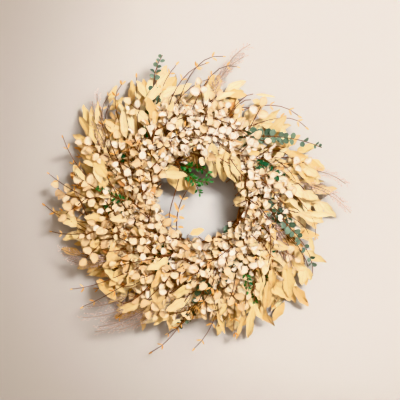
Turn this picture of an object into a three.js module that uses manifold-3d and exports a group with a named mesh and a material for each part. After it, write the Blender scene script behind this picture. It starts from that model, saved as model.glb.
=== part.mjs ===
// A round wreath of preserved eucalyptus, lying on its back.
// Five long vines are wound into a ring and bound with three flat ties, which it rests on.
// Every spray is a cut stem pushed into a socket in a vine: gold lance-leaf and cream
// silver-dollar sprays, green eucalyptus, small-leaf sprigs, seed plumes and thin twigs, all
// swept clockwise as seen from the front.
// Millimetres. +Z is the front of the wreath, +Y its top, and the origin is the centre of the
// ring on the surface that it lies on.
import * as THREE from "three";
import { mergeVertices } from "three/addons/utils/BufferGeometryUtils.js";
import Module from "manifold-3d";

const wasm = await Module();
wasm.setup();

// Driving dimensions of the vine ring
const RING_RADIUS = 116;
const VINES = 5;
const VINE_RADIUS = 7.95;
const VINE_SIDES = 5;
const VINE_STEPS = 22;
const VINE_WIND_RADIUS = 14.8;
const VINE_TWISTS = 2;

// Driving dimensions of the ties: flat bands round the vines, one level side on the surface
const TIE_ANGLES = [48, 164, 292];
const TIE_SIDES = 10;
const TIE_WIDTH = 5;
const TIE_THICKNESS = 1.2;
const TIE_CLEARANCE = 0.3;
const TIE_INNER = VINE_WIND_RADIUS + VINE_RADIUS + TIE_CLEARANCE;
const RING_HEIGHT = TIE_INNER + TIE_THICKNESS;

// A cut stem starts in its socket, this far from the middle of the ring's section, and leaves
// by these shares away from that middle and along the sweep. It bends over the share BEND of
// its length at each end. A socket has ROOM round the stem and a little past its cut end.
const SOCKET_DEPTH = 16.5;
const SOCKET_ROOM = 0.45;
const SOCKET_START = -0.004;
const LEAVING = { away: 0.8, along: 0.6 };
const BEND = 0.34;

// Side twigs: how far each runs along its stem and out from it, its own radius at its root
// over that at its tip, where the first one leaves and how far apart they are, as shares of
// the stem, and how steeply each rises, in the order in which it is tried
const TWIG = { along: 0.78, out: 0.6, swell: 0.3, first: 0.36, apart: 0.24, stray: 0.1 };
const TWIG_RISES = [0.25, 0.4, 0.1, 0.6, 0.8, -0.1];
const TWIG_LEAVES = { count: 2, from: 0.45 };

// How leaves differ from one another: degrees between stem and leaf, degrees of lift from
// level and of roll, and size
const VARY = { spread: 16, lift: 34, lowest: -4, roll: 70, size: 0.3, smallest: 0.84 };
const END_LEAF = { at: 0.985, spread: 6 };
const LAST_PAIR = 0.96;
const PAIR_PLACE = 0.8;
const ROOT_OFFSET = 0.1;
const END_LEAF_SHARE = 0.9;

// Clearances between pieces, above the surface and of the clear middle of the wreath
const SEAT_GAP = 0.35;
const FLOOR_GAP = 2;
const CLEAR_MIDDLE = { left: -30, right: 62, bottom: -72, top: 20 };
const SHORTEST_EDGE = 0.06;

const VINE_COLOUR = 0x4a2c1a;
const TIE_COLOUR = 0x8a6f4e;

// The kinds of spray whose leaves take their places first
const LEAFING_ORDER = ["gold", "green", "sprig", "cream", "twig", "plume"];

// How a stem gives way to those already laid: more arch, then a turn of its root
const MORE_ARCH = [0, 8, 16, 24, 32, 40];
const ROOT_TURNS = [0, 3, -3];

// How a leaf gives way to its neighbours, tried in turn
const YIELDS = [
  { roll: 0, lift: 0, scale: 1 },
  { roll: 22, lift: 10, scale: 0.95 },
  { roll: -22, lift: 14, scale: 0.95 },
  { roll: 40, lift: 24, scale: 0.9 },
  { roll: -40, lift: 28, scale: 0.9 },
  { roll: 12, lift: -14, scale: 0.85 },
  { roll: -12, lift: 40, scale: 0.85 },
  { roll: 65, lift: 50, scale: 0.8 },
  { roll: -65, lift: -20, scale: 0.75 },
];

// What each kind of spray is made of. A leaf's length and width are those at the root of the
// stem, and it shrinks by `shrink` of that towards the tip. `spread` is the angle between leaf
// and stem, `from` the share of the stem that is bare.
const KINDS = {
  gold: {
    stem: [1.9, 0.8],
    sides: 3,
    steps: 5,
    leaf: { points: 8, length: 74, width: 27, petiole: 9, thick: 1.6, taper: 0.45, curl: 0.12, cup: 0.12 },
    spread: 34,
    shrink: 0.25,
    from: 0.42,
    pairs: false,
    colour: 0xe3bd72,
  },
  cream: {
    stem: [1.7, 0.8],
    sides: 3,
    steps: 5,
    leaf: { points: 6, length: 27, width: 22, petiole: 3, thick: 1.5, taper: 0.1, curl: 0.05, cup: 0.2 },
    spread: 58,
    shrink: 0.2,
    from: 0.1,
    pairs: true,
    colour: 0xefd9ae,
  },
  green: {
    stem: [1.6, 0.7],
    sides: 3,
    steps: 6,
    leaf: { points: 6, length: 27, width: 23, petiole: 3, thick: 1.4, taper: 0.1, curl: 0.05, cup: 0.15 },
    spread: 56,
    shrink: 0.62,
    from: 0.16,
    pairs: true,
    colour: 0x6f8a6c,
  },
  sprig: {
    stem: [1.3, 0.7],
    sides: 3,
    steps: 5,
    leaf: { points: 6, length: 15, width: 8, petiole: 2, thick: 1.4, taper: 0.3, curl: 0.1, cup: 0.1 },
    spread: 52,
    shrink: 0.25,
    from: 0.25,
    pairs: true,
    colour: 0x3f7d3a,
  },
  twig: {
    stem: [1.3, 0.6],
    sides: 3,
    steps: 7,
    leaf: { points: 4, length: 17, width: 6, petiole: 2, thick: 1.3, taper: 0.4, curl: 0.1, cup: 0.1 },
    spread: 48,
    shrink: 0.3,
    from: 0.62,
    pairs: true,
    colour: 0xc99a55,
  },
  plume: {
    stem: [1.3, 0.6],
    sides: 3,
    steps: 5,
    leaf: { points: 4, length: 26, width: 2.6, petiole: 6, thick: 2.2, taper: 0.5, curl: 0.15, cup: 0 },
    spread: 26,
    shrink: 0.45,
    from: 0.4,
    pairs: false,
    colour: 0xd9c3ae,
  },
};

// Each spray by kind: its name, the angle on the ring where it is tucked in, the angle round
// the ring's section (0 outwards, 90 to the front, 180 inwards), where its last leaf ends
// (across, up, height), the arch of its stem and its number of leaves. `out` is the angle
// between the tip's way and the clockwise sweep, `twigs` the lengths of its side twigs.
const spray = (name, root, side, tip, arch, leaves, { out = 45, twigs = [] } = {}) => ({
  name,
  root,
  side,
  tip,
  arch,
  leaves,
  out,
  twigs,
});
const BUSHY = { twigs: [66, 58] };
const ROUND_THE_HOLE = { out: 0, twigs: [50, 50, 46] };

const SPRAYS = {
  gold: [
    spray("gold_spray_left_high", 178, 20, [-246, 209, 34], 12, 4),
    spray("gold_spray_upper_left", 152, 15, [-139, 255, 28], 10, 4),
    spray("gold_spray_top_left", 137, 25, [-66, 286, 40], 12, 4),
    spray("gold_spray_top", 102, 15, [103, 255, 30], 10, 4),
    spray("gold_spray_top_right", 72, 15, [207, 154, 34], 12, 4),
    spray("gold_spray_right_high", 47, 20, [284, 59, 36], 14, 4),
    spray("gold_spray_right", 22, 10, [297, -44, 26], 10, 4),
    spray("gold_spray_right_low", -7, 20, [231, -196, 34], 12, 4, { out: 35 }),
    spray("gold_spray_lower_right", -22, 10, [207, -231, 22], 10, 4, { out: 55 }),
    spray("gold_spray_bottom_right", -44, 20, [100, -315, 30], 12, 4),
    spray("gold_spray_bottom", -62, 10, [48, -306, 22], 10, 3, { out: 70 }),
    spray("gold_spray_bottom_left", -88, 25, [-123, -264, 36], 12, 4),
    spray("gold_spray_lower_left", -103, 10, [-182, -257, 24], 10, 4),
    spray("gold_spray_left_low", -117, 25, [-227, -185, 34], 12, 4),
    spray("gold_spray_left", -152, 10, [-317, -26, 28], 10, 4),
    spray("gold_spray_left_mid", -172, 20, [-275, 73, 38], 12, 4),
    spray("gold_spray_hole_right", 84, 165, [99, 30, 62], 14, 3, { out: -20 }),
    spray("gold_spray_hole_left", 168, 118, [-22, 44, 66], 24, 3, { out: -40 }),
  ],
  cream: [
    spray("cream_spray_left", -176, 60, [-321, 37, 48], 26, 8, BUSHY),
    spray("cream_spray_left_high", 166, 55, [-218, 160, 54], 26, 8, BUSHY),
    spray("cream_spray_top_left", 133, 60, [-94, 232, 56], 26, 8, BUSHY),
    spray("cream_spray_top", 98, 55, [58, 233, 54], 26, 8, BUSHY),
    spray("cream_spray_top_right", 66, 60, [162, 156, 54], 26, 8, BUSHY),
    spray("cream_spray_right", 34, 55, [236, 24, 52], 26, 8, BUSHY),
    spray("cream_spray_lower_right", -14, 60, [173, -167, 54], 26, 8, BUSHY),
    spray("cream_spray_bottom", -54, 55, [27, -254, 52], 26, 8, BUSHY),
    spray("cream_spray_lower_left", -97, 60, [-157, -217, 54], 26, 8, BUSHY),
    spray("cream_spray_left_low", -142, 55, [-275, -74, 52], 26, 8, BUSHY),
    spray("cream_spray_inner_top", 118, 118, [57, 108, 76], 22, 8, ROUND_THE_HOLE),
    spray("cream_spray_inner_right", 52, 112, [127, -18, 78], 20, 8, ROUND_THE_HOLE),
    spray("cream_spray_inner_bottom", -33, 100, [9, -124, 76], 22, 8, ROUND_THE_HOLE),
    spray("cream_spray_inner_left", -108, 118, [-117, -34, 78], 22, 8, ROUND_THE_HOLE),
    spray("cream_spray_inner_upper_left", 180, 112, [-78, 99, 80], 22, 8, ROUND_THE_HOLE),
  ],
  green: [
    spray("green_spray_top", 134, 40, [-73, 321, 60], 20, 11),
    spray("green_spray_right_high", 70, 75, [279, 106, 70], 24, 13),
    spray("green_spray_right_low", 11, 75, [251, -180, 56], 26, 12, { out: 30 }),
    spray("green_spray_bottom", -57, 75, [-57, -293, 54], 24, 11),
  ],
  sprig: [
    spray("sprig_hole", 130, 150, [31, 40, 70], 16, 10, { out: -20 }),
    spray("sprig_left", -168, 85, [-222, 30, 82], 14, 7),
    spray("sprig_lower_right", -36, 30, [121, -238, 46], 14, 7),
  ],
  twig: [
    spray("twig_far_left", -147, 35, [-345, -9, 44], 18, 4),
    spray("twig_left", -164, 35, [-299, 143, 64], 24, 4),
    spray("twig_top_left", 147, 40, [-90, 308, 58], 22, 4, { out: 75 }),
    spray("twig_top", 119, 35, [66, 310, 54], 22, 4, { out: 5 }),
    spray("twig_right_high", 88, 40, [229, 174, 46], 20, 4, { out: 10 }),
    spray("twig_bottom", -72, 35, [-112, -345, 38], 16, 4),
    spray("twig_hole", 122, 160, [-37, -75, 50], 10, 4, { out: -170 }),
  ],
  plume: [
    spray("plume_top_left", 170, 10, [-233, 227, 46], 12, 8),
    spray("plume_top_right", 94, 35, [128, 345, 42], 14, 8),
    spray("plume_right", 29, 35, [345, -44, 42], 14, 8),
    spray("plume_lower_left", -92, 40, [-242, -297, 38], 16, 8),
    spray("plume_left", -127, 35, [-299, -132, 42], 14, 8),
  ],
};

const TURN = Math.PI * 2;
const UP = new THREE.Vector3(0, 0, 1);
const radians = (degrees) => (degrees * Math.PI) / 180;
const range = (count) => [...Array(count).keys()];

// A repeatable draw from 0 to 1 for a spray, a leaf on it and what the draw is for.
function draw(sprayIndex, leafIndex, use) {
  const wave = Math.sin(sprayIndex * 127.1 + leafIndex * 311.7 + use * 74.7) * 43758.5453;
  return wave - Math.floor(wave);
}

const polar = (degrees, radius, height) =>
  new THREE.Vector3(
    radius * Math.cos(radians(degrees)),
    radius * Math.sin(radians(degrees)),
    height,
  );
const outwards = (degrees) => polar(degrees, 1, 0);
const clockwise = (degrees) => polar(degrees - 90, 1, 0);

// Solids and meshes

function solidOf(geometry) {
  geometry.deleteAttribute("normal");
  geometry.deleteAttribute("uv");
  const merged = mergeVertices(geometry, 1e-4);
  return new wasm.Manifold(
    new wasm.Mesh({
      numProp: 3,
      vertProperties: merged.attributes.position.array,
      triVerts: new Uint32Array(merged.index.array),
    }),
  );
}

// A named mesh of a solid's largest closed body, with its shortest edges gathered.
function meshOf(name, solid, colour, roughness) {
  const bodies = solid.simplify(SHORTEST_EDGE).decompose();
  const body = bodies.reduce((best, other) => (other.volume() > best.volume() ? other : best));
  const { vertProperties, triVerts } = body.getMesh();
  const geometry = new THREE.BufferGeometry()
    .setAttribute("position", new THREE.BufferAttribute(vertProperties, 3))
    .setIndex(new THREE.BufferAttribute(triVerts, 1));
  geometry.computeVertexNormals();
  const material = new THREE.MeshStandardMaterial({ color: colour, roughness, metalness: 0 });
  const mesh = new THREE.Mesh(geometry, material);
  mesh.name = name;
  return mesh;
}

// Lines

// The angle round the ring's section at which a vine lies, at an angle on the ring.
const vineSide = (vine, degrees) => (360 * vine) / VINES - 90 + VINE_TWISTS * degrees;

// The side at which a stem meets the middle of a vine, nearest to the side that it wants.
function seatSide(root, side) {
  const turns = range(VINES).map((vine) => {
    const turn = (vineSide(vine, root) - side) % 360;
    return turn > 180 ? turn - 360 : turn < -180 ? turn + 360 : turn;
  });
  return side + turns.reduce((best, turn) => (Math.abs(turn) < Math.abs(best) ? turn : best));
}

// One vine's closed line, wound round the ring's centre line.
class VineCurve extends THREE.Curve {
  constructor(vine) {
    super();
    this.vine = vine;
  }

  getPoint(t, target = new THREE.Vector3()) {
    const side = radians(vineSide(this.vine, 360 * t));
    const radius = RING_RADIUS + VINE_WIND_RADIUS * Math.cos(side);
    const height = RING_HEIGHT + VINE_WIND_RADIUS * Math.sin(side);
    return target.copy(polar(360 * t, radius, height));
  }
}

// A cut stem's line: it leaves its socket in the ring and sweeps clockwise to its tip.
function stemLine(kind, { root, side, tip, arch, out }) {
  const seat = radians(seatSide(root, side));
  const away = outwards(root).multiplyScalar(Math.cos(seat)).addScaledVector(UP, Math.sin(seat));
  const start = polar(root, RING_RADIUS, RING_HEIGHT).addScaledVector(away, SOCKET_DEPTH);
  const leaving = away.multiplyScalar(LEAVING.away).addScaledVector(clockwise(root), LEAVING.along);
  const end = new THREE.Vector3(...tip);
  const heading = clockwise((Math.atan2(end.y, end.x) * 180) / Math.PI + out);
  end.addScaledVector(heading, -kind.leaf.length * (1 - kind.shrink) * END_LEAF_SHARE);
  const bend = start.distanceTo(end) * BEND;
  return new THREE.CubicBezierCurve3(
    start,
    start.clone().addScaledVector(leaving, bend),
    end.clone().addScaledVector(heading, -bend).addScaledVector(UP, arch),
    end,
  );
}

// The way a line runs at t, the level side of it and what is above it.
function frameAt(line, t) {
  const along = line.getTangent(Math.max(t, 0));
  const side = new THREE.Vector3().crossVectors(along, UP).normalize();
  const above = new THREE.Vector3().crossVectors(side, along);
  return { at: line.getPoint(t), along, side, above };
}

// The same on a bar of straight steps bent along the line: its middle runs inside the bend.
function barFrameAt(line, steps, t) {
  const step = Math.min(Math.floor(t * steps), steps - 1);
  const at = line.getPoint(step / steps).lerp(line.getPoint((step + 1) / steps), t * steps - step);
  return { ...frameAt(line, t), at };
}

// Sprays

// A round bar bent along a line between two shares of it, thinner towards its end.
function bentBar(line, rootRadius, tipRadius, sides, steps, from = 0, to = 1) {
  const bar = new THREE.CylinderGeometry(tipRadius, rootRadius, 1, sides, steps);
  const places = bar.attributes.position;
  for (const i of range(places.count)) {
    const { at, side, above } = frameAt(line, from + (places.getY(i) + 0.5) * (to - from));
    at.addScaledVector(side, places.getX(i)).addScaledVector(above, places.getZ(i));
    places.setXYZ(i, at.x, at.y, at.z);
  }
  return solidOf(bar);
}

// One leaf along +X with its root at the origin: a lens whose rim is the leaf's outline after
// its petiole, narrower towards the tip, raised at the sides and curled down at the end.
function bladeSolid({ points, length, width, petiole, thick, taper, curl, cup }) {
  const lens = new THREE.SphereGeometry(1, points, 2);
  const places = lens.attributes.position;
  const start = petiole / length;
  for (const i of range(places.count)) {
    const across = places.getZ(i);
    const isFace = Math.abs(places.getY(i)) > 0.5;
    const isRoot = places.getX(i) < -0.99;
    const onBlade = start + ((1 - start) * (1 + places.getX(i))) / 2;
    const share = isFace ? 0.5 : isRoot ? 0 : onBlade;
    const half = (width / 2) * across * (1 - taper * share * share);
    const bend = -curl * length * share * share + (cup * width * across * across) / 2;
    const skin = isFace ? (Math.sign(places.getY(i)) * thick) / 2 : 0;
    places.setXYZ(i, length * share, -half, bend + skin);
  }
  return solidOf(lens);
}

// Where one leaf goes: its root on its stem, its way out from the stem on one side, lifted,
// and its face turned to the front, then rolled.
function leafPlace({ frame, handed, spread, lift, roll, scale }, more) {
  const rise = lift + radians(more.lift);
  const out = frame.side.clone().multiplyScalar(handed * Math.cos(rise));
  out.addScaledVector(frame.above, Math.sin(rise));
  const way = frame.along.clone().multiplyScalar(Math.cos(spread));
  way.addScaledVector(out, Math.sin(spread)).normalize();
  const face = UP.clone().addScaledVector(way, -UP.dot(way)).normalize();
  const across = new THREE.Vector3().crossVectors(face, way);
  face.applyAxisAngle(way, roll + radians(more.roll));
  across.applyAxisAngle(way, roll + radians(more.roll));
  return new THREE.Matrix4()
    .makeBasis(way, across, face)
    .setPosition(frame.at.clone().addScaledVector(way, ROOT_OFFSET))
    .scale(new THREE.Vector3().setScalar(scale * more.scale));
}

// Every leaf of a spray as it grew: its place on its shoot, its hand, its turn and its size.
function* leavesOf(kind, sprayIndex, shoots) {
  let leafIndex = 0;
  for (const shoot of shoots) {
    for (const k of range(shoot.count + 1)) {
      const isEnd = k === shoot.count;
      const step = kind.pairs ? Math.floor(k / 2) * 2 + PAIR_PLACE : k + 0.5;
      const onShoot = Math.min(step / shoot.count, LAST_PAIR);
      const t = isEnd ? END_LEAF.at : shoot.from + (1 - shoot.from) * onShoot;
      const vary = (use) => draw(sprayIndex, leafIndex, use);
      yield {
        shoot,
        frame: barFrameAt(shoot.line, shoot.steps, t),
        handed: k % 2 ? 1 : -1,
        spread: radians(isEnd ? END_LEAF.spread : kind.spread + VARY.spread * (vary(1) - 0.5)),
        lift: radians(VARY.lowest + VARY.lift * vary(2)),
        roll: radians(VARY.roll * (vary(3) - 0.5)),
        scale: (1 - kind.shrink * t) * (VARY.smallest + VARY.size * vary(4)),
      };
      leafIndex++;
    }
  }
}

// What is in place already, each solid with its box, so that the next one keeps clear of it

const placed = [];
const placedVines = [];
const placedStems = [];

function keep(solid, list) {
  const entry = { solid, box: solid.boundingBox() };
  placed.push(entry);
  list?.push(entry);
}

function isClear(solid, kin = [], others = placed) {
  const { min, max } = solid.boundingBox();
  const isFar = ({ box }) =>
    [0, 1, 2].some((a) => box.min[a] > max[a] + SEAT_GAP || box.max[a] < min[a] - SEAT_GAP);
  if (min[2] < FLOOR_GAP) return false;
  return others.every(
    (other) =>
      kin.includes(other.solid) ||
      isFar(other) ||
      solid.minGap(other.solid, SEAT_GAP) >= SEAT_GAP,
  );
}

function isOutOfTheMiddle(solid) {
  const { min, max } = solid.boundingBox();
  const { left, right, bottom, top } = CLEAR_MIDDLE;
  return max[0] < left || min[0] > right || max[1] < bottom || min[1] > top;
}

// The ring

function vineSolid(vine) {
  const line = new VineCurve(vine);
  return solidOf(new THREE.TubeGeometry(line, VINE_STEPS, VINE_RADIUS, VINE_SIDES, true));
}

function tieSolid(degrees) {
  const corners = (apothem) =>
    range(TIE_SIDES).map((i) => {
      const angle = (TURN * (i + 0.5)) / TIE_SIDES - TURN / 4;
      const radius = apothem / Math.cos(Math.PI / TIE_SIDES);
      return new THREE.Vector2(radius * Math.cos(angle), radius * Math.sin(angle));
    });
  const band = new THREE.Shape(corners(TIE_INNER + TIE_THICKNESS));
  band.holes.push(new THREE.Path(corners(TIE_INNER)));
  return solidOf(
    new THREE.ExtrudeGeometry(band, { depth: TIE_WIDTH, bevelEnabled: false })
      .translate(0, 0, -TIE_WIDTH / 2)
      .rotateX(Math.PI / 2)
      .translate(RING_RADIUS, 0, RING_HEIGHT)
      .rotateZ(radians(degrees)),
  );
}

const vines = range(VINES).map(vineSolid);
const ties = TIE_ANGLES.map(tieSolid);
vines.forEach((vine) => keep(vine, placedVines));
ties.forEach((tie) => keep(tie, placedStems));

// Lays a spray's stem in the ring, clear of the stems and ties before it, and past its first
// step clear of the vines. Gives the spray with its socket.
function laidSpray(kind, spec, sprayIndex) {
  const [rootRadius, tipRadius] = kind.stem;
  const bar = (line, from) =>
    bentBar(line, rootRadius, tipRadius, kind.sides, kind.steps, from);
  const ways = MORE_ARCH.flatMap((arch) => ROOT_TURNS.map((turn) => ({ arch, turn })));
  const lines = ways.map(({ arch, turn }) =>
    stemLine(kind, { ...spec, arch: spec.arch + arch, root: spec.root + turn }),
  );
  const firstStep = 1 / kind.steps;
  const line =
    lines.find(
      (way) =>
        isClear(bar(way), [], placedStems) && isClear(bar(way, firstStep), [], placedVines),
    ) ?? lines[0];
  const stem = bar(line);
  keep(stem, placedStems);
  const room = SOCKET_ROOM / Math.cos(Math.PI / kind.sides);
  const stepRadius = rootRadius + (tipRadius - rootRadius) * firstStep;
  const socket = bentBar(
    line,
    rootRadius + room,
    stepRadius + room,
    kind.sides,
    1,
    SOCKET_START,
    firstStep,
  );
  const shoot = { line, steps: kind.steps, count: spec.leaves, from: kind.from, solid: stem };
  return { spec, kind, sprayIndex, parts: [stem], shoots: [shoot], socket };
}

// Adds a spray's side twigs, on one side and the other in turn, where there is room.
function growTwigs({ spec, kind, sprayIndex, parts, shoots }) {
  const [stem] = shoots;
  const [, tipRadius] = kind.stem;
  spec.twigs.forEach((length, j) => {
    const handed = j % 2 ? -1 : 1;
    const t = TWIG.first + TWIG.apart * j + TWIG.stray * draw(sprayIndex, j, 7);
    const { at, along, side, above } = barFrameAt(stem.line, stem.steps, t);
    for (const rise of TWIG_RISES) {
      const end = at.clone().addScaledVector(along, length * TWIG.along);
      end.addScaledVector(side, handed * length * TWIG.out).addScaledVector(above, length * rise);
      const line = new THREE.LineCurve3(at, end);
      const solid = bentBar(line, tipRadius + TWIG.swell, tipRadius, kind.sides, 1);
      if (isClear(solid, [stem.solid])) {
        keep(solid);
        parts.push(solid);
        shoots.push({ line, steps: 1, ...TWIG_LEAVES, solid });
        break;
      }
    }
  });
}

// Adds a spray's leaves, each turned until it is clear of everything before it.
function growLeaves({ kind, sprayIndex, parts, shoots }, leafSolid) {
  for (const leaf of leavesOf(kind, sprayIndex, shoots)) {
    const kin = [leaf.shoot.solid, parts.at(-1)];
    for (const more of YIELDS) {
      const solid = leafSolid.transform(leafPlace(leaf, more).elements);
      if (isOutOfTheMiddle(solid) && isClear(solid, kin)) {
        keep(solid);
        parts.push(solid);
        break;
      }
    }
  }
}

const sprays = [];
for (const [kindName, specs] of Object.entries(SPRAYS)) {
  for (const spec of specs) {
    sprays.push(laidSpray(KINDS[kindName], spec, sprays.length));
  }
}
sprays.forEach(growTwigs);
for (const kind of LEAFING_ORDER.map((name) => KINDS[name])) {
  const leafSolid = bladeSolid(kind.leaf);
  sprays.filter((one) => one.kind === kind).forEach((one) => growLeaves(one, leafSolid));
}

// The wreath

const wreath = new THREE.Group();
wreath.name = "wreath";
const sockets = wasm.Manifold.union(sprays.map(({ socket }) => socket));
vines.forEach((vine, i) => {
  wreath.add(meshOf(`vine_${i + 1}`, vine.subtract(sockets), VINE_COLOUR, 0.85));
});
ties.forEach((tie, i) => {
  wreath.add(meshOf(`ring_tie_${i + 1}`, tie, TIE_COLOUR, 0.8));
});
sprays.forEach(({ spec, kind, parts }) => {
  wreath.add(meshOf(spec.name, wasm.Manifold.union(parts), kind.colour, 0.7));
});

export default wreath;
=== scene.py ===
"""A wreath of preserved eucalyptus on its back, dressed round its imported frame.

Each packed spray gives way to a finer one on the same stem with the same leaves, and more
sprays fill the wreath between them. The vines get their bark and the ties their twine.
Lengths are millimetres until a piece is finished, and metres from then on. +Z is the front
of the wreath, +Y its top, and the origin the middle of the ring on the surface it lies on.
"""

import logging
import math
import random
from collections import defaultdict
from collections.abc import Iterable, Iterator
from dataclasses import dataclass, field, replace
from enum import Enum
from functools import cached_property, lru_cache
from itertools import product

import bmesh
import bpy
from mathutils import Matrix, Vector, kdtree, noise


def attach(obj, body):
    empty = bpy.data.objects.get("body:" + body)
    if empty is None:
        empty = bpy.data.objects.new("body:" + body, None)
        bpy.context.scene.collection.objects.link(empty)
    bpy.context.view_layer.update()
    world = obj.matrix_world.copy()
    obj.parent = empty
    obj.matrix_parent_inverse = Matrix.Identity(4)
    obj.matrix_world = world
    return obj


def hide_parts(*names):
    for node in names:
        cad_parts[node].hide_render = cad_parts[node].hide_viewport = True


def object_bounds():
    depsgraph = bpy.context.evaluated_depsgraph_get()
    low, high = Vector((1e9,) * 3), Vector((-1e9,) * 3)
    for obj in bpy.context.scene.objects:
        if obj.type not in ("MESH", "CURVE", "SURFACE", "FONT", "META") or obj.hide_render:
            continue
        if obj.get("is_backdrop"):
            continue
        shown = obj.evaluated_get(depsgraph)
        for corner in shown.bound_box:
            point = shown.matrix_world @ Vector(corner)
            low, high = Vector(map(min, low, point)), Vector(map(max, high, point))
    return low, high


Shape = bmesh.types.BMesh
Socket = bpy.types.NodeSocket
Place = tuple[float, float, float]
Pair = tuple[float, float]
Colour = tuple[int, int, int]

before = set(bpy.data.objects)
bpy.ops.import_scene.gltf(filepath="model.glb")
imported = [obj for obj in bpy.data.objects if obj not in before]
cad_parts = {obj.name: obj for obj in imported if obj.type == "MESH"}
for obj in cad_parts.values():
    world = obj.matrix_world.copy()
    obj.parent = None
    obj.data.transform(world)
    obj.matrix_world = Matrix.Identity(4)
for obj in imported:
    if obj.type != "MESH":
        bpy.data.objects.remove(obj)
CAD_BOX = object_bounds()

LOG = logging.getLogger("wreath")
MM = 0.001
UP = Vector((0, 0, 1))
TURN = math.tau

# The ring, its vines, its ties and the sockets of the stems, as packed
RING_RADIUS = 116
VINES = 5
VINE_RADIUS = 7.95
VINE_WIND_RADIUS = 14.8
VINE_TWISTS = 2
TIE_ANGLES = (48, 164, 292)
TIE_WIDTH = 5
TIE_THICKNESS = 1.2
TIE_GAP = 0.3
TIE_INNER = VINE_WIND_RADIUS + VINE_RADIUS + TIE_GAP
RING_HEIGHT = TIE_INNER + TIE_THICKNESS
SOCKET_DEPTH = 16.5
LEAVING_AWAY = 0.8
LEAVING_ALONG = 0.6
BEND = 0.34

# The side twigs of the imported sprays, as shares of their stem and of their own length
TWIG_ALONG = 0.78
TWIG_OUT = 0.6
TWIG_SWELL = 0.3
TWIG_FIRST = 0.36
TWIG_APART = 0.24
TWIG_STRAY = 0.1
TWIG_RISES = (0.25, 0.4, 0.1, 0.6, 0.8, -0.1)
TWIG_LEAVES = 2
TWIG_BARE = 0.45
TWIG_LAST = 0.95
TWIG_SHOWN = 0.3

# How leaves differ from one another, in degrees and shares of their size, and how the last
# ones stand on their shoot
VARY_SPREAD = 16
VARY_LIFT = 34
LOWEST_LIFT = -4
VARY_ROLL = 70
VARY_SIZE = 0.3
WILD_DROOP = 22
WILD_LIFT = 40
WILD_ROLL = 50
WILD_SIZE = 0.4
SMALLEST = 0.84
END_LEAF_AT = 0.985
END_LEAF_SPREAD = 6
LAST_PAIR = 0.96
PAIR_PLACE = 0.8
ROOT_OFFSET = 0.1
END_LEAF_SHARE = 0.9
EDGE_RISE = 2.5

# Leaves that fill a bare stem: where the first stands, how close they come to the shoot's
# own leaves, as shares of their gap, how far apart a pair grows, and their size
FILL_FIRST = 0.3
FILL_GAP = 0.4
FILL_PAIR = 0.01
FILL_SCALE = 0.95

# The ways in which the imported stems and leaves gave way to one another: more arch with a
# turn of the root, and (roll, lift, scale) of a leaf. Other leaves take one of the first.
STEM_WAYS = tuple(product((0, 8, 16, 24, 32, 40), (0, 3, -3)))
LEAF_WAYS = (
    (0, 0, 1),
    (22, 10, 0.95),
    (-22, 14, 0.95),
    (40, 24, 0.9),
    (-40, 28, 0.9),
    (12, -14, 0.85),
    (-12, 40, 0.85),
    (65, 50, 0.8),
    (-65, -20, 0.75),
)
FREE_WAYS = 5
SAME_PLACE = 0.25
BAR_SIDES = 3

# The layers: into how many pieces each goes, and how a root strays in its share of the ring
# and a side twig in its length
FILL_GROUPS = 6
ROOT_STRAY = (0.1, 0.9)
TWIG_SHARES = (0.8, 1.15)

# How finely a line is measured, and how close corners are that become one
LENGTH_STEPS = 12
JOIN_WITHIN = 1e-3

# How the variants of a blade differ: ranges of the cup's and the fold's depth beside the
# leaf's own, then shares of its width, length and outline
HOLLOW_RANGE = (0.6, 1.5)
CREASE_RANGE = (0, 1.6)
LEAN = 0.18
BOW = 0.02
LOBES_ALONG = 2.4
LOBES_APART = 1.3
BLADE_LUCK = 31
BRANCH_LUCK = 17

# What counts as nought and as the rim on the unit ball that becomes a blade
NOUGHT = 0.01
RIM = 0.99

# What makes a leaf paler: painted light and shade by its height and its place towards the lamps at
# the upper right, and two draws
PAINTED_LIGHT_BY_HEIGHT = 0.3
PAINTED_LIGHT_BY_PLACE = 0.28
TONE_BY_LEAF = 1.0
TONE_BY_SPRAY = 0.2
LEAF_HEIGHT = 100
LEAF_REACH = 300

# How leaves crowd one another: the places along a leaf that keep room, the step in the
# height kept free over it, and how near the floor and the ring it may come
SHORT_LEAF = 40
SHORT_LEAF_PLACES = (0.55,)
LONG_LEAF_PLACES = (0.3, 0.55, 0.8)
CLEAR_STEP = 10
WIDEST_AT = 0.6
LOWEST = 1.5
RING_CLEAR = 1

# The steps of stems and side twigs, and the numbers that leaves between their own count from
STEM_STEPS = 10
TWIG_STEPS = 3
STEM_SIDES = 6
MORE_ON_STEM = 100
MORE_ON_TWIG = 140
MORE_PER_TWIG = 40

# Laid leaves: the side of their root, the height kept free over them, the places
# that keep room as shares of the length and the width, and their stem
LAID_SIDE = 60
LAID_CLEAR = 60
LAID_PLACES = (0.3, 0.45, 0.6, 0.75)
LAID_ACROSS = 0.25
LAID_STEPS = 8
LAID_BEND = 0.7

# The outline of the wreath's body: its reach from the middle every 30 degrees, from +X
OUTLINE = (250, 198, 232, 262, 285, 282, 298, 292, 300, 296, 290, 258)
HOLE_CENTRE = (9, 4)
HOLE_RADIUS = 98

# What the wave of a draw is made of
DRAW_WEIGHTS = (127.1, 311.7, 74.7)
DRAW_SCALE = 43758.5453

# Where a leaf's values are kept: tone, partly painted light and shade, warmth, which face, and how
# near its rim
LEAF_VALUES = "leaf"
UV_NAME = "UVMap"


class Kind(Enum):
    """The kinds of spray, in the order in which the frame numbers its sprays."""

    GOLD = "gold"
    CREAM = "cream"
    GREEN = "green"
    SPRIG = "sprig"
    TWIG = "twig"
    PLUME = "plume"
    BROAD = "broad"
    PALE = "pale"
    TAN = "tan"
    DARK = "dark"
    LAID = "laid"


class Part(Enum):
    """The parts of a spray, each with a finish of its own: a face's material index."""

    LEAF = 0
    STEM = 1
    SEED = 2


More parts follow.
